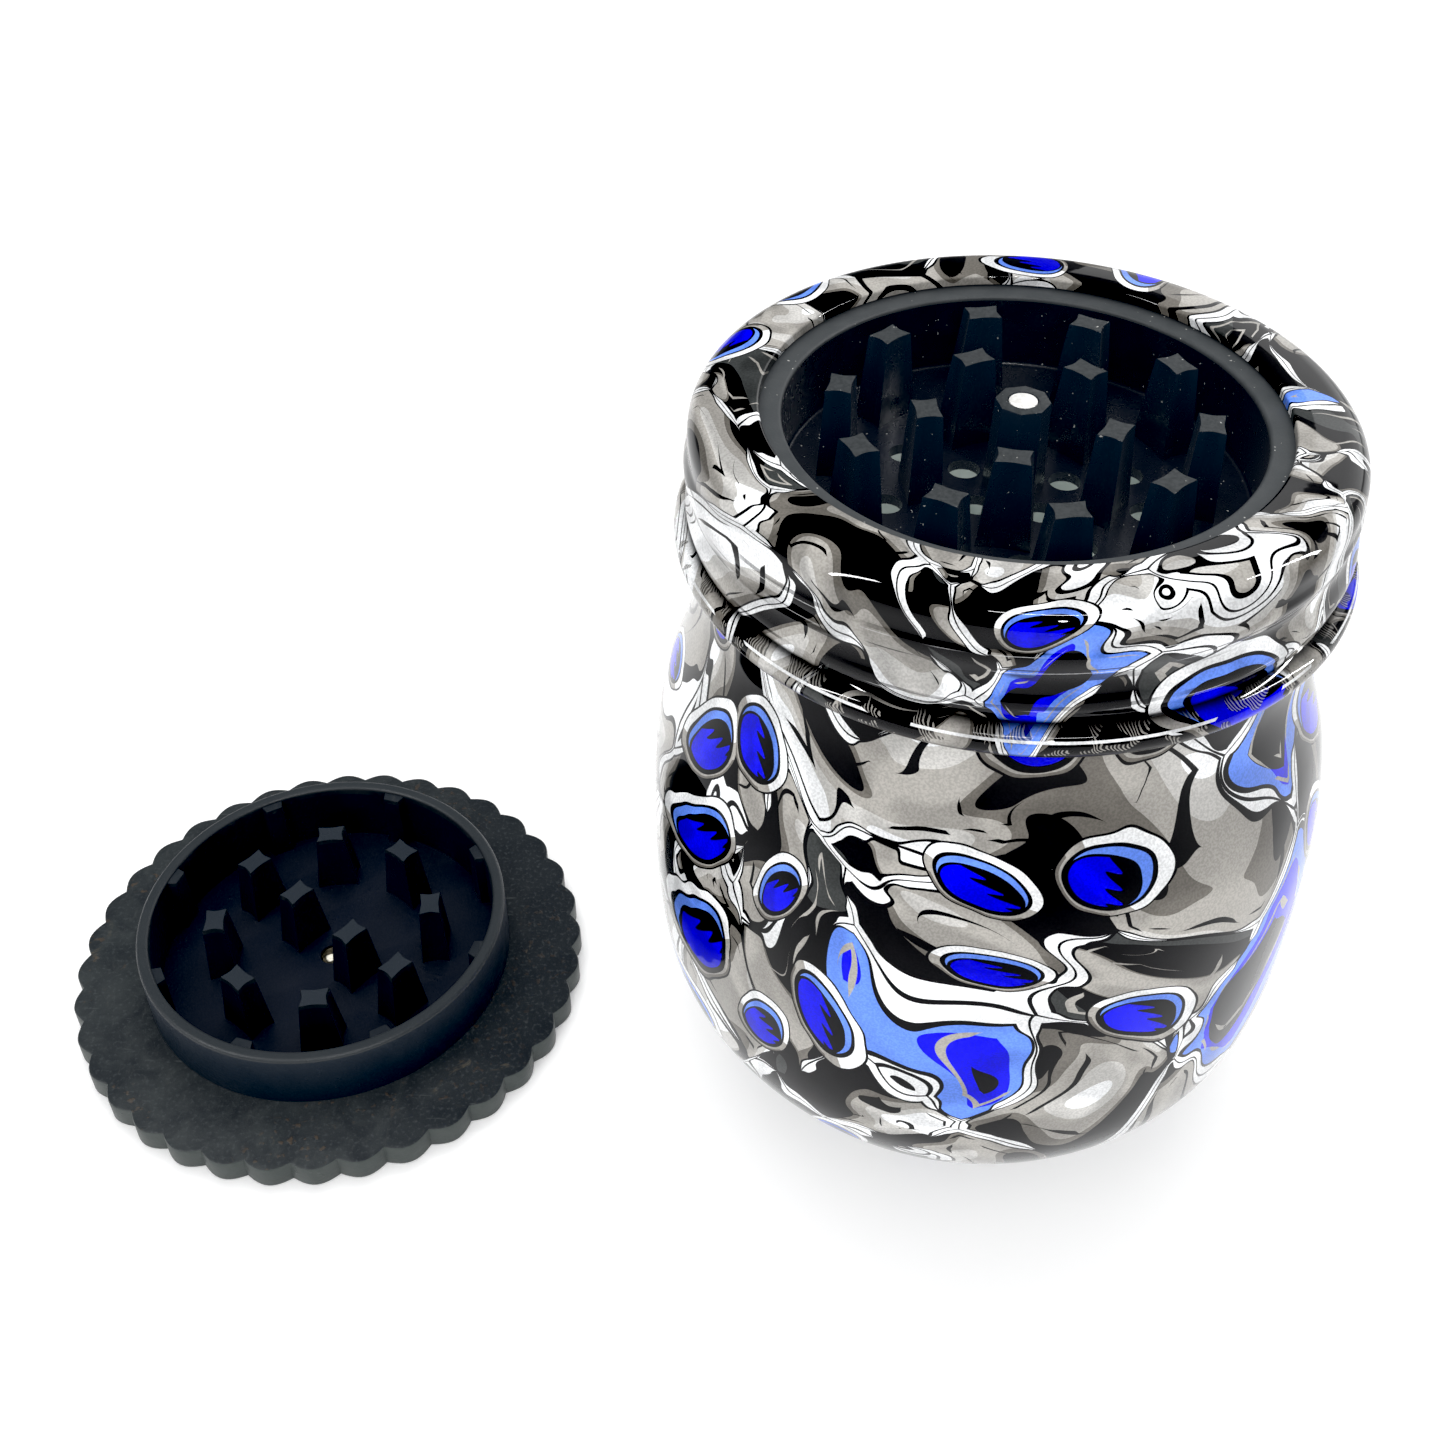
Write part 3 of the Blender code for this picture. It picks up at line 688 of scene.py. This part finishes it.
def printed(name, radius, level, shift, size, share, black_from, blue_from, finish, on_band=False):
    """Glossy printed film: grey, black and blue panels with pale rims and dark outlines, and blue ovals.

    It is generic drawing, made of warped cells and the level lines of smooth noise. The radius is the wall's,
    level says how much a flat top counts as height, shift picks another part of the noise, size scales the
    drawing, share is how many cells have an oval, and black_from and blue_from set how many panels are black
    or blue."""
    g = Graph(name)
    place = g.place()
    x, y, z = g.parts(place)
    moved = g.vector("ADD", place, (shift, -shift, shift * 0.7))
    swirl = g.noise(moved, SWIRL_SIZE * size, colour=True)
    curled = g.vector("ADD", moved, g.sway(swirl, SWIRL_REACH * size))
    ripple = g.noise(curled, RIPPLE_SIZE * size, colour=True)
    curled = g.vector("ADD", curled, g.sway(ripple, RIPPLE_REACH * size))
    pitch = PANEL_PITCH * size
    cell_spot = g.vector("SCALE", curled, scale=1.0 / pitch)
    cells = g.node("ShaderNodeTexVoronoi", {"feature": "F1"}, Vector=cell_spot, Scale=1.0, Randomness=0.9)
    gaps = g.node("ShaderNodeTexVoronoi", {"feature": "DISTANCE_TO_EDGE"}, Vector=cell_spot, Scale=1.0,
                  Randomness=0.9)
    edge = g.mul(gaps.outputs["Distance"], pitch)
    kind, _, _ = g.parts(cells.outputs["Color"])
    apart = g.vector("SCALE", cells.outputs["Color"], scale=60.0)
    field = g.noise(g.vector("ADD", curled, apart), 17.0 * size)
    streak = g.noise(g.vector("ADD", curled, (0.0, 120.0, 45.0)), 9.0 * size)
    swell = g.noise(g.vector("ADD", curled, (70.0, 0.0, 15.0)), 8.0 * size)
    grain = g.noise(place, GRAIN_SIZE, detail=1.0)
    colour = panel_colour(g, kind, field, edge, streak, black_from, blue_from)
    # tapering strokes that run beside the outlines, dark on grey and pale on black
    stroke_colour = g.mix(g.over(kind, black_from), INK, LIGHT_GREY)
    for reach, low, high, widest in STROKES:
        width = g.ramp(streak, low, high, 0.0, widest * size)
        stroke = g.between(edge, reach * size, g.add(reach * size, width))
        colour = g.mix(stroke, colour, stroke_colour)
        streak = g.sub(1.0, streak)
    rim = g.ramp(swell, 0.36, 0.62, 0.12 * size, 1.25 * size)
    colour = g.mix(g.under(edge, g.add(rim, 0.42 * size)), colour, INK)
    colour = g.mix(g.under(edge, rim), colour, PAPER)
    colour = g.mix(g.under(edge, 0.14 * size), colour, INK)
    # ovals, on a sheet wrapped round from the back and another from the front
    ease_x, ease_y, _ = g.parts(g.sway(swirl, OVAL_SWAY))
    height = g.add(g.add(z, g.mul(g.sub(radius, g.length(x, y)), level)), ease_y)
    wobble = g.noise(place, WOBBLE_SIZE)
    back = g.mul(g.math("ARCTAN2", g.mul(x, -1.0), y), radius)
    for sheet, reach, part in ((back, radius * (math.pi - FRONT_REACH) - SHEET_GAP, BACK_SHIFT),
                               (around_front(g, x, y, radius), radius * FRONT_REACH, FRONT_SHIFT)):
        colour = draw_ovals(g, colour, g.add(sheet, ease_x), height, wobble, part + shift, reach, share)
    if on_band:
        colour = band_details(g, colour, x, y, z)
    # halftone grain and soft airbrushed shading
    shade = g.noise(g.vector("ADD", curled, (15.0, 60.0, 0.0)), SHADE_SIZE * size)
    weight, index, darkest, palest = finish
    value = g.mul(g.ramp(grain, 0.35, 0.65, 0.88, 1.10), g.ramp(shade, 0.30, 0.66, darkest, palest))
    grained = g.node("ShaderNodeHueSaturation", Color=colour, Value=value)
    g.set(Base_Color=grained.outputs[0], Roughness=0.35, Specular_IOR_Level=0.05, Coat_Weight=weight,
          Coat_IOR=index, Coat_Roughness=0.02)
    wave = g.noise(place, 16.0, detail=1.0)
    g.bump(wave, 0.25, 0.0006)
    return g.material


def plain_glass():
    """The jar's clear inside, with the back of the film showing through, and a faint even painted glow."""
    g = Graph("jar_inside")
    cloud = g.noise(g.place(), 11.0, detail=3.0)
    # a faint even painted glow brightens the inside
    g.set(Base_Color=g.patchy(cloud, GLASS, 0.35, 0.65), Roughness=0.12, Coat_Weight=1.0, Coat_Roughness=0.02,
          Emission_Color=GLASS_GLOW, Emission_Strength=0.10)
    return g.material


def bowl_plastic():
    """Black moulded plastic: glossy inside, matte on the rim, worn paler on the teeth's tops, with dust,
    painted light on the teeth's sides and a faint painted glow.
    """
    g = Graph("bowl_plastic")
    place = g.place()
    x, y, z = g.parts(place)
    spread = g.length(x, y)
    up = g.upward()
    facing_up = g.over(up, 0.9)
    tops = g.mul(facing_up, g.mul(g.over(z, BOWL_TEETH_TOP - 0.4), g.under(spread, BOWL_RADIUS - 1.0)))
    rim = g.mul(g.over(spread, BOWL_RADIUS - 0.05), g.over(z, BOWL_RIM - 0.5))
    cloud = g.noise(place, 3.0, detail=4.0, roughness=0.6)
    fine = g.noise(place, 0.35, detail=2.0)
    dust = g.noise(place, 0.42, detail=1.0)
    dust_zone = g.noise(place, 6.0, detail=1.0)
    speck = g.mul(g.over(dust, 0.77), g.over(dust_zone, 0.50))
    # painted light: the teeth's sides are a little paler towards their tops and darker down by the floor,
    # where shade falls
    sides = g.mul(g.under(g.math("ABSOLUTE", up), 0.5), g.under(spread, BOWL_RADIUS - 1.0))
    lit = g.mul(sides, g.ramp(z, BOWL_FLOOR + 1.0, BOWL_TEETH_TOP, 0.2, 1.0))
    colour = g.mix(lit, g.patchy(cloud, BOWL_BODY), BOWL_LIT_SIDES)
    colour = g.mix(rim, colour, g.patchy(cloud, BOWL_MATTE))
    colour = g.mix(tops, colour, g.patchy(fine, BOWL_WORN))
    colour = g.mix(speck, colour, DUST)
    dull = g.math("MAXIMUM", rim, tops)
    rough = g.add(g.ramp(cloud, 0.3, 0.7, 0.25, 0.30), g.mul(dull, 0.30))
    g.set(Base_Color=colour, Roughness=rough)
    # a faint even painted glow lifts the deepest shade
    g.painted_glow(BOWL_PAINTED_GLOW)
    g.bump(fine, 0.12, 0.0001)
    return g.material


def cap_plastic():
    """Charcoal moulded plastic, matte, with scuffs, smears, dried grease and brown crumbs, painted shade
    inside the skirt and on the flange's side towards the jar, and a faint painted glow.
    """
    g = Graph("cap_plastic")
    place = g.vector("SUBTRACT", g.place(), (CAP_CENTRE, 0.0, 0.0))
    x, y, z = g.parts(place)
    spread = g.length(x, y)
    up = g.upward()
    facing_up = g.over(up, 0.9)
    # the tops of the teeth, and dimmer ones on the lugs
    tops = g.mul(facing_up, g.between(z, CAP_TEETH_TOP - 0.4, CAP_TEETH_TOP + 0.2))
    tops = g.mul(tops, g.ramp(spread, LUG_TIP - 1.5, LUG_TIP - 0.5, 1.0, 0.35))
    cloud = g.noise(place, 7.0, detail=4.0, roughness=0.6)
    fine = g.noise(place, 0.5, detail=3.0)
    crumb = g.noise(place, 1.1, detail=2.0)
    zone = g.noise(place, 9.0, detail=1.0)
    scuff = g.noise(g.vector("MULTIPLY", place, (1.0, 0.35, 1.0)), 1.6, detail=5.0, roughness=0.7)
    colour = g.mix(g.mul(g.ramp(scuff, 0.56, 0.72), 0.5), g.patchy(cloud, CAP_BODY), SCUFFS)
    colour = g.mix(tops, colour, CAP_TOOTH_TOPS)
    dirt = g.mul(g.ramp(crumb, 0.60, 0.70), g.ramp(zone, 0.50, 0.62))
    low = g.under(z, CAP_SHEET + 0.3)
    colour = g.mix(g.mul(g.mul(dirt, low), 0.55), colour, CRUMBS)
    # the scalloped side, the skirt's outside, its rim, and painted shade over everything inside it
    side = g.mul(g.under(g.math("ABSOLUTE", up), 0.5), g.mul(low, g.over(spread, SKIRT_OUTER + 4.0)))
    colour = g.mix(side, colour, g.patchy(cloud, CAP_SIDE))
    skirt = g.mul(g.over(z, CAP_SHEET + 0.1), g.over(spread, SKIRT_OUTER - 0.1))
    colour = g.mix(skirt, colour, CAP_SKIRT)
    edge = g.mul(g.over(z, SKIRT_TOP - 0.5), g.over(spread, SKIRT_INNER + 0.1))
    colour = g.mix(edge, colour, CAP_SKIRT_RIM)
    # painted shade: everything inside the skirt but the teeth's tops is darkened as a shaded recess
    deep = g.mul(g.under(spread, SKIRT_INNER + 0.1), g.between(z, 0.5, SKIRT_TOP - 1.2))
    colour = g.mix(g.mul(deep, g.sub(1.0, tops)), colour, CAP_RECESS_SHADE)
    # the flange and the outer face are handled most: smears, dried grease, specks and scratches; the flange
    # also gets painted shade on its side towards the jar
    outer_face = g.under(z, 0.2)
    flange = g.math("MAXIMUM", outer_face, g.mul(facing_up, g.over(spread, SKIRT_OUTER)))
    aside = g.vector("ADD", place, (40.0, 0.0, 0.0))
    smear = g.noise(aside, 5.0, detail=5.0, roughness=0.65, distortion=1.2)
    # painted shade: the flange darkens towards +X, its side towards the jar, and its smears fade there; the
    # outer face is left out
    painted_shade_side = g.mul(g.ramp(x, 5.0, 30.0), g.sub(1.0, outer_face))
    smeared = g.mul(g.mul(flange, g.sub(1.0, g.mul(painted_shade_side, 0.85))), g.ramp(smear, 0.35, 0.70, 0.10, 0.38))
    colour = g.mix(smeared, colour, SMEARS)
    colour = g.mix(g.mul(g.mul(flange, painted_shade_side), 0.6), colour, CAP_FLANGE_SHADE)
    dried = g.mul(flange, g.mul(g.ramp(smear, 0.62, 0.70), g.ramp(zone, 0.54, 0.62)))
    colour = g.mix(g.mul(dried, 0.45), colour, DRIED_GREASE)
    colour = g.mix(g.mul(flange, g.ramp(fine, 0.52, 0.72, 0.0, 0.35)), colour, FINE_SPECKLE)
    scratch = g.noise(g.vector("MULTIPLY", place, (0.25, 2.2, 1.0)), 1.3, detail=3.0)
    colour = g.mix(g.mul(flange, g.ramp(scratch, 0.68, 0.76, 0.0, 0.3)), colour, SCRATCHES)
    rough = g.add(g.ramp(cloud, 0.3, 0.7, 0.40, 0.56), g.mul(tops, 0.08))
    g.set(Base_Color=colour, Roughness=rough)
    # a faint even painted glow lifts the deepest shade
    g.painted_glow(CAP_PAINTED_GLOW)
    height = g.add(g.mul(fine, 0.5), g.mul(dirt, 0.6))
    g.bump(height, 0.30, 0.0002)
    return g.material


def nickel():
    """The bowl's magnet: bright plating, a little uneven."""
    g = Graph("nickel_plate")
    fine = g.noise(g.place(), 0.4, detail=4.0)
    g.set(Base_Color=g.patchy(fine, NICKEL), Metallic=0.35, Roughness=g.ramp(fine, 0.3, 0.7, 0.30, 0.50))
    return g.material


def dirty_nickel_and_highlight():
    """The cap's magnet: greased over and dark, with a painted highlight, one bright spot a little off its
    centre.
    """
    g = Graph("dirty_nickel_and_highlight")
    place = g.vector("SUBTRACT", g.place(), (CAP_CENTRE - 0.15, -0.4, 0.0))
    x, y, _ = g.parts(place)
    cloud = g.noise(place, 0.9, detail=3.0)
    away = g.add(g.length(x, y), g.mul(g.sub(cloud, 0.5), 0.7))
    # a painted highlight: a bright spot with an uneven edge, a little off the magnet's centre
    painted_highlight = g.ramp(away, 0.42, 0.70, 1.0, 0.0)
    colour = g.mix(painted_highlight, g.patchy(cloud, GREASE, 0.35, 0.65), PAINTED_HIGHLIGHT_NICKEL)
    g.set(Base_Color=colour, Roughness=g.ramp(cloud, 0.3, 0.7, 0.30, 0.50))
    return g.material


def silicone():
    """The gasket: milky rubber."""
    g = Graph("silicone")
    cloud = g.noise(g.place(), 4.0, detail=3.0)
    g.set(Base_Color=g.patchy(cloud, SILICONE), Roughness=g.ramp(cloud, 0.3, 0.7, 0.5, 0.65),
          Subsurface_Weight=0.2)
    return g.material


# ---------------------------------------------------------------- pieces

def make_jar():
    """The jar in one turned body. Its inside, floor and foot are clear, and the rest carries the film."""
    rim = arc(FINISH_RADIUS - RIM_ROUNDING, JAR_RIM - RIM_ROUNDING, RIM_ROUNDING, 0, 90, 5)
    mouth = arc(MOUTH_RADIUS + RIM_ROUNDING, JAR_RIM - RIM_ROUNDING, RIM_ROUNDING, 90, 180, 5)
    outside = [(0.0, 0.0)] + smooth_line(JAR_OUTER, 4) + rows(FINISH_RADIUS, FINISH_RADIUS, JAR_THREAD, 18)
    inside = smooth_line(JAR_INNER, 3) + [(0.0, JAR_FLOOR)]
    mesh = turned_mesh("jar", outside + rim + mouth + inside, JAR_STEPS, closed=False)
    roll_thread(mesh, JAR_THREAD, FINISH_RADIUS - 0.5)
    jar = new_object("jar_glass", mesh)
    film = printed("jar_print", radius=39.8, level=0.35, shift=812.0, size=1.0, share=0.60, black_from=0.68,
                   blue_from=0.87, finish=JAR_FINISH)
    place_piece(jar, "jar", "glass_jar", film)
    jar.visible_diffuse = False
    mesh.materials.append(plain_glass())
    for face in mesh.polygons:
        centre = face.center / MM
        spread = math.hypot(centre.x, centre.y)
        mouth_wall = spread < FINISH_RADIUS - 2.0 and centre.z > MOUTH_LOW
        inside_wall = face.normal.x * centre.x + face.normal.y * centre.y < -0.2 * spread
        floor = face.normal.z > 0.3 and centre.z < 20.0
        foot = face.normal.z < -0.9
        face.material_index = 1 if mouth_wall or inside_wall or floor or foot else 0
    shade_smooth(jar)


def make_band():
    """The band's sheet: a lip round the opening, the shoulder, the threaded wall, a groove and the bead."""
    inner = BAND_RADIUS - BAND_SHEET
    top = BAND_TOP
    shoulder = arc(BAND_RADIUS - SHOULDER_RADIUS, top - SHOULDER_RADIUS, SHOULDER_RADIUS, 90, 0, 12)
    inside = arc(BAND_RADIUS - SHOULDER_RADIUS, top - SHOULDER_RADIUS, SHOULDER_RADIUS - BAND_SHEET, 0, 90, 8)
    wall = rows(BAND_RADIUS + BAND_FLARE, BAND_RADIUS, BAND_THREAD, 24)
    back = rows(inner + BAND_FLARE, inner, BAND_THREAD, 24)
    groove_top = BEAD_HEIGHT + BEAD_HALF
    bead = arc(BEAD_RADIUS - BEAD_HALF, BEAD_HEIGHT, BEAD_HALF, 75, -90, 16)
    lip = top - LIP_DEPTH
    outline = [(BAND_OPENING, lip)]
    outline += arc(BAND_OPENING + 0.3, top - 0.3, 0.3, 180, 90, 4)
    outline += shoulder + wall[::-1]
    outline += [(BAND_RADIUS + 0.1, groove_top + 0.9), (BAND_RADIUS - 0.1, groove_top + 0.35)]
    outline += bead
    outline += [(inner + BAND_FLARE, BEAD_HEIGHT - BEAD_HALF)]
    outline += back + inside
    outline += [(BAND_OPENING + BAND_SHEET + 0.3, top - BAND_SHEET), (BAND_OPENING + BAND_SHEET, lip)]
    mesh = turned_mesh("band", outline, BAND_STEPS)
    roll_thread(mesh, BAND_THREAD, inner - 0.5)
    band = new_object("band_sheet", mesh)
    film = printed("band_print", radius=35.0, level=1.0, shift=1247.0, size=0.66, share=0.16, black_from=0.68,
                   blue_from=0.91, finish=BAND_FINISH, on_band=True)
    place_piece(band, "band", "screw_band", film)
    shade_smooth(band, 40.0)


def octagon(radius):
    """The centre post's section."""
    angles = [math.radians(POST_TURN + 45 * corner) for corner in range(8)]
    return [(radius * math.cos(angle), radius * math.sin(angle)) for angle in angles]


def pocket_mesh(low, high, surface):
    """What is cut away for a magnet: a little wider and deeper than it, and up through the surface."""
    radius = (high.x - low.x) / 2 / MM
    return cylinder_mesh([(0.0, 0.0)], radius + MAGNET_GAP, low.z / MM - 0.1, surface + 1.0, 40)


def make_bowl():
    """The bowl, teeth and post in one moulding, with the sieve holes and the magnet's pocket cut out."""
    outer = BOWL_RADIUS + BOWL_WALL
    under = BOWL_FLOOR - BOWL_FLOOR_SHEET
    flange = BOWL_RIM - BOWL_FLANGE_SHEET
    outline = [(0.0, BOWL_FLOOR)]
    outline += arc(BOWL_RADIUS - 0.5, BOWL_FLOOR + 0.5, 0.5, -90, 0, 4)
    outline += arc(BOWL_RADIUS + 0.4, BOWL_RIM - 0.4, 0.4, 180, 90, 6)
    outline += [(BOWL_FLANGE_RADIUS, BOWL_RIM), (BOWL_FLANGE_RADIUS, flange), (outer, flange)]
    outline += [(outer, under + 1.0), (outer - 1.0, under), (0.0, under)]
    bowl = new_object("bowl_moulding", turned_mesh("bowl", outline, BOWL_STEPS, closed=False))
    post = bmesh.new()
    add_frustum(post, octagon(POST_RADIUS + 0.4), octagon(POST_RADIUS), BOWL_FLOOR - TOOTH_SUNK, POST_TOP,
                Matrix(), TOOTH_EDGE)
    holes = [(radius, first + number * 360 / count) for count, radius, first in SIEVE_RINGS
             for number in range(count)]
    pocket = pocket_mesh(POST_MAGNET_LOW, POST_MAGNET_HIGH, POST_TOP)
    combine(bowl, [
        ("UNION", teeth_mesh(BOWL_TEETH, BOWL_FLOOR, BOWL_TEETH_TOP)),
        ("UNION", finish_mesh(post, "post")),
        ("DIFFERENCE", cylinder_mesh(holes, SIEVE_RADIUS, under - 1.0, BOWL_FLOOR + 1.0, 28)),
        ("DIFFERENCE", pocket)])
    place_piece(bowl, "insert", "grinder_bowl", bowl_plastic())
    shade_smooth(bowl)


def make_magnet(name, body, node, low, high, look):
    """A disc with softened edges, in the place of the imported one."""
    centre_of_edge = (high.x - low.x) / 2 / MM - MAGNET_EDGE
    bottom = low.z / MM
    top = high.z / MM
    outline = [(0.0, bottom)]
    outline += arc(centre_of_edge, bottom + MAGNET_EDGE, MAGNET_EDGE, -90, 0, 3)
    outline += arc(centre_of_edge, top - MAGNET_EDGE, MAGNET_EDGE, 0, 90, 3)
    outline += [(0.0, top)]
    disc = new_object(name, turned_mesh(name, outline, 48, closed=False))
    place_piece(disc, body, node, look, (low.x + high.x) / 2 / MM)
    shade_smooth(disc, 40.0)


def make_gasket():
    """A flat ring with rounded edges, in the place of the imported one."""
    edge = GASKET_EDGE
    outer = GASKET_HIGH.x / MM - edge
    inner = GASKET_HIGH.x / MM - GASKET_WIDTH + edge
    low = GASKET_LOW.z / MM + edge
    high = GASKET_HIGH.z / MM - edge
    outline = arc(outer, high, edge, 90, 0, 4) + arc(outer, low, edge, 0, -90, 4)
    outline += arc(inner, low, edge, 270, 180, 4) + arc(inner, high, edge, 180, 90, 4)
    ring = new_object("gasket_ring", turned_mesh("gasket", outline, 96))
    place_piece(ring, "insert", "sealing_gasket", silicone())
    shade_smooth(ring, 50.0)


def lobe_outline(inset, points_per_lobe=12):
    """The cap's scalloped outline, moved in by the inset."""
    count = LOBES * points_per_lobe
    turn = math.radians(LOBE_TURN)
    outline = []
    for number in range(count):
        angle = turn + math.radians(180 / LOBES) + 2 * math.pi * number / count
        wave = abs(math.cos(LOBES / 2 * (angle - turn)))
        radius = LOBE_VALLEY + LOBE_DEPTH * wave - inset
        outline.append((radius * math.cos(angle), radius * math.sin(angle)))
    return outline


def cap_disc_mesh():
    """The cap's scalloped disc, with softened edges."""
    edge = 0.3
    levels = ((edge, 0.0), (edge * 0.3, edge * 0.3), (0.0, edge), (0.0, CAP_SHEET - edge),
              (edge * 0.3, CAP_SHEET - edge * 0.3), (edge, CAP_SHEET))
    work = bmesh.new()
    loops = []
    for inset, height in levels:
        loops.append([work.verts.new((x * MM, y * MM, height * MM)) for x, y in lobe_outline(inset)])
    count = len(loops[0])
    for low, high in zip(loops, loops[1:]):
        for side in range(count):
            after = (side + 1) % count
            work.faces.new((low[side], low[after], high[after], high[side]))
    work.faces.new(loops[0][::-1])
    work.faces.new(loops[-1])
    return finish_mesh(work, "cap_disc")


def lug_outline(flare):
    """A lug's section, from its tip out into the skirt."""
    depth = SKIRT_INNER + 0.8 - LUG_TIP
    tip = LUG_TIP_HALF + flare
    root = LUG_ROOT_HALF + flare
    return [(0.0, -tip), (depth, -root), (depth, root), (0.0, tip)]


def lug_mesh():
    """The lugs round the inside of the cap's skirt."""
    work = bmesh.new()
    for number in range(LUGS):
        place = turned_place(LUG_TURN + number * 360 / LUGS, LUG_TIP)
        add_frustum(work, lug_outline(LUG_FLARE), lug_outline(0.0), CAP_RECESS - TOOTH_SUNK, CAP_TEETH_TOP,
                    place, LUG_EDGE)
    return finish_mesh(work, "lugs")


def make_cap():
    """The disc, skirt, lugs and teeth in one moulding, with the recess and the magnet's pocket cut out."""
    cap = new_object("cap_moulding", cap_disc_mesh())
    edge = 0.55
    root = CAP_SHEET / 2 - 0.4
    outline = [(SKIRT_OUTER, root)]
    outline += arc(SKIRT_OUTER - edge, SKIRT_TOP - edge, edge, 0, 90, 6)
    outline += arc(SKIRT_INNER + edge, SKIRT_TOP - edge, edge, 90, 180, 5)
    outline += [(SKIRT_INNER, root)]
    wide = (SKIRT_INNER + SKIRT_OUTER) / 2
    combine(cap, [
        ("DIFFERENCE", cylinder_mesh([(0.0, 0.0)], wide, CAP_RECESS, CAP_SHEET + 1.0, CAP_STEPS)),
        ("UNION", turned_mesh("skirt", outline, CAP_STEPS)),
        ("UNION", lug_mesh()),
        ("UNION", teeth_mesh(CAP_TEETH, CAP_RECESS, CAP_TEETH_TOP)),
        ("DIFFERENCE", pocket_mesh(CAP_MAGNET_LOW, CAP_MAGNET_HIGH, CAP_RECESS))])
    place_piece(cap, "cap", "grinder_cap", cap_plastic(), CAP_CENTRE)
    shade_smooth(cap)


# ---------------------------------------------------------------- studio

def make_floor():
    """A plain, nearly white floor at the object's lowest point."""
    low = CAD_BOUNDS[0][2]
    near, far = -FLOOR_HALF, FLOOR_HALF
    mesh = bpy.data.meshes.new("floor")
    corners = [(near, near, low), (far, near, low), (far, far, low), (near, far, low)]
    mesh.from_pydata(corners, [], [(0, 1, 2, 3)])
    floor = new_object("floor", mesh)
    g = Graph("floor")
    cloud = g.noise(g.place(), 60.0, detail=2.0)
    g.set(Base_Color=g.mix(cloud, *FLOOR), Roughness=0.7, Emission_Color=WHITE, Emission_Strength=FLOOR_GLOW)
    mesh.materials.append(g.material)


def make_backdrop():
    """A white sweep that starts well away from the object and bends up behind it all round.

    It only fills the picture: light, shadows and reflections pass it by."""
    low = CAD_BOUNDS[0][2] / MM + SWEEP_LIFT
    outline = [(SWEEP_START, low)]
    outline += arc(SWEEP_TURN, low + SWEEP_BEND, SWEEP_BEND, -90, 0, 12)
    outline += [(SWEEP_TURN + SWEEP_BEND, low + SWEEP_HEIGHT)]
    mesh = turned_mesh("backdrop", outline, 96, closed=False)
    backdrop = new_object("backdrop", mesh)
    g = Graph("backdrop")
    g.set(Base_Color=BLACK, Roughness=1.0, Specular_IOR_Level=0.0, Emission_Color=WHITE,
          Emission_Strength=SWEEP_GLOW)
    mesh.materials.append(g.material)
    for ray in ("diffuse", "glossy", "transmission", "volume_scatter", "shadow"):
        setattr(backdrop, "visible_" + ray, False)
    shade_smooth(backdrop, 40.0)


def add_lamp(name, place, target, size, energy, glossy, diffuse):
    """An oblong lamp turned towards its target."""
    light = bpy.data.lights.new(name, "AREA")
    light.shape = "RECTANGLE"
    light.size, light.size_y = size
    light.energy = energy
    lamp = new_object(name, light)
    lamp.location = place
    lamp.rotation_euler = (Vector(target) - Vector(place)).to_track_quat("-Z", "Y").to_euler()
    lamp.visible_camera = False
    lamp.visible_glossy = glossy
    lamp.visible_diffuse = diffuse


def make_lights():
    """Soft light from above and in front, and lamps that are only seen as reflections."""
    world = bpy.data.worlds.new("studio")
    bpy.context.scene.world = world
    world.use_nodes = True
    background = world.node_tree.nodes["Background"]
    background.inputs[0].default_value = WORLD
    background.inputs[1].default_value = WORLD_STRENGTH
    for lamp in LAMPS:
        add_lamp(*lamp)


def make_camera():
    """The camera where the photograph's was."""
    data = bpy.data.cameras.new("camera")
    data.sensor_width = CAMERA_SENSOR
    data.lens = CAMERA_LENS
    data.shift_x, data.shift_y = CAMERA_SHIFT
    data.clip_start = CAMERA_CLIP
    camera = new_object("camera", data)
    yaw, pitch, roll = (math.radians(angle) for angle in CAMERA_TURN)
    forward = Vector((-math.sin(yaw) * math.cos(pitch), math.cos(yaw) * math.cos(pitch), -math.sin(pitch)))
    level = Vector((math.cos(yaw), math.sin(yaw), 0.0))
    upright = level.cross(forward)
    right = math.cos(roll) * level + math.sin(roll) * upright
    up = math.cos(roll) * upright - math.sin(roll) * level
    turn = Matrix((right, up, -forward)).transposed().to_4x4()
    camera.matrix_world = Matrix.Translation(CAMERA_PLACE) @ turn
    bpy.context.scene.camera = camera


def set_view():
    """Standard colours with a black point, because the photograph's blacks are so deep."""
    view = bpy.context.scene.view_settings
    view.view_transform = "Standard"
    view.use_curve_mapping = True
    view.curve_mapping.black_level = (BLACK_POINT, BLACK_POINT, BLACK_POINT)
    view.curve_mapping.update()


make_camera()
make_floor()
make_backdrop()
make_lights()
set_view()
make_jar()
make_band()
make_bowl()
make_magnet("post_magnet", "insert", "bowl_magnet", POST_MAGNET_LOW, POST_MAGNET_HIGH, nickel())
make_magnet("cap_disc_magnet", "cap_carrier", "cap_magnet", CAP_MAGNET_LOW, CAP_MAGNET_HIGH, dirty_nickel_and_highlight())
make_gasket()
make_cap()
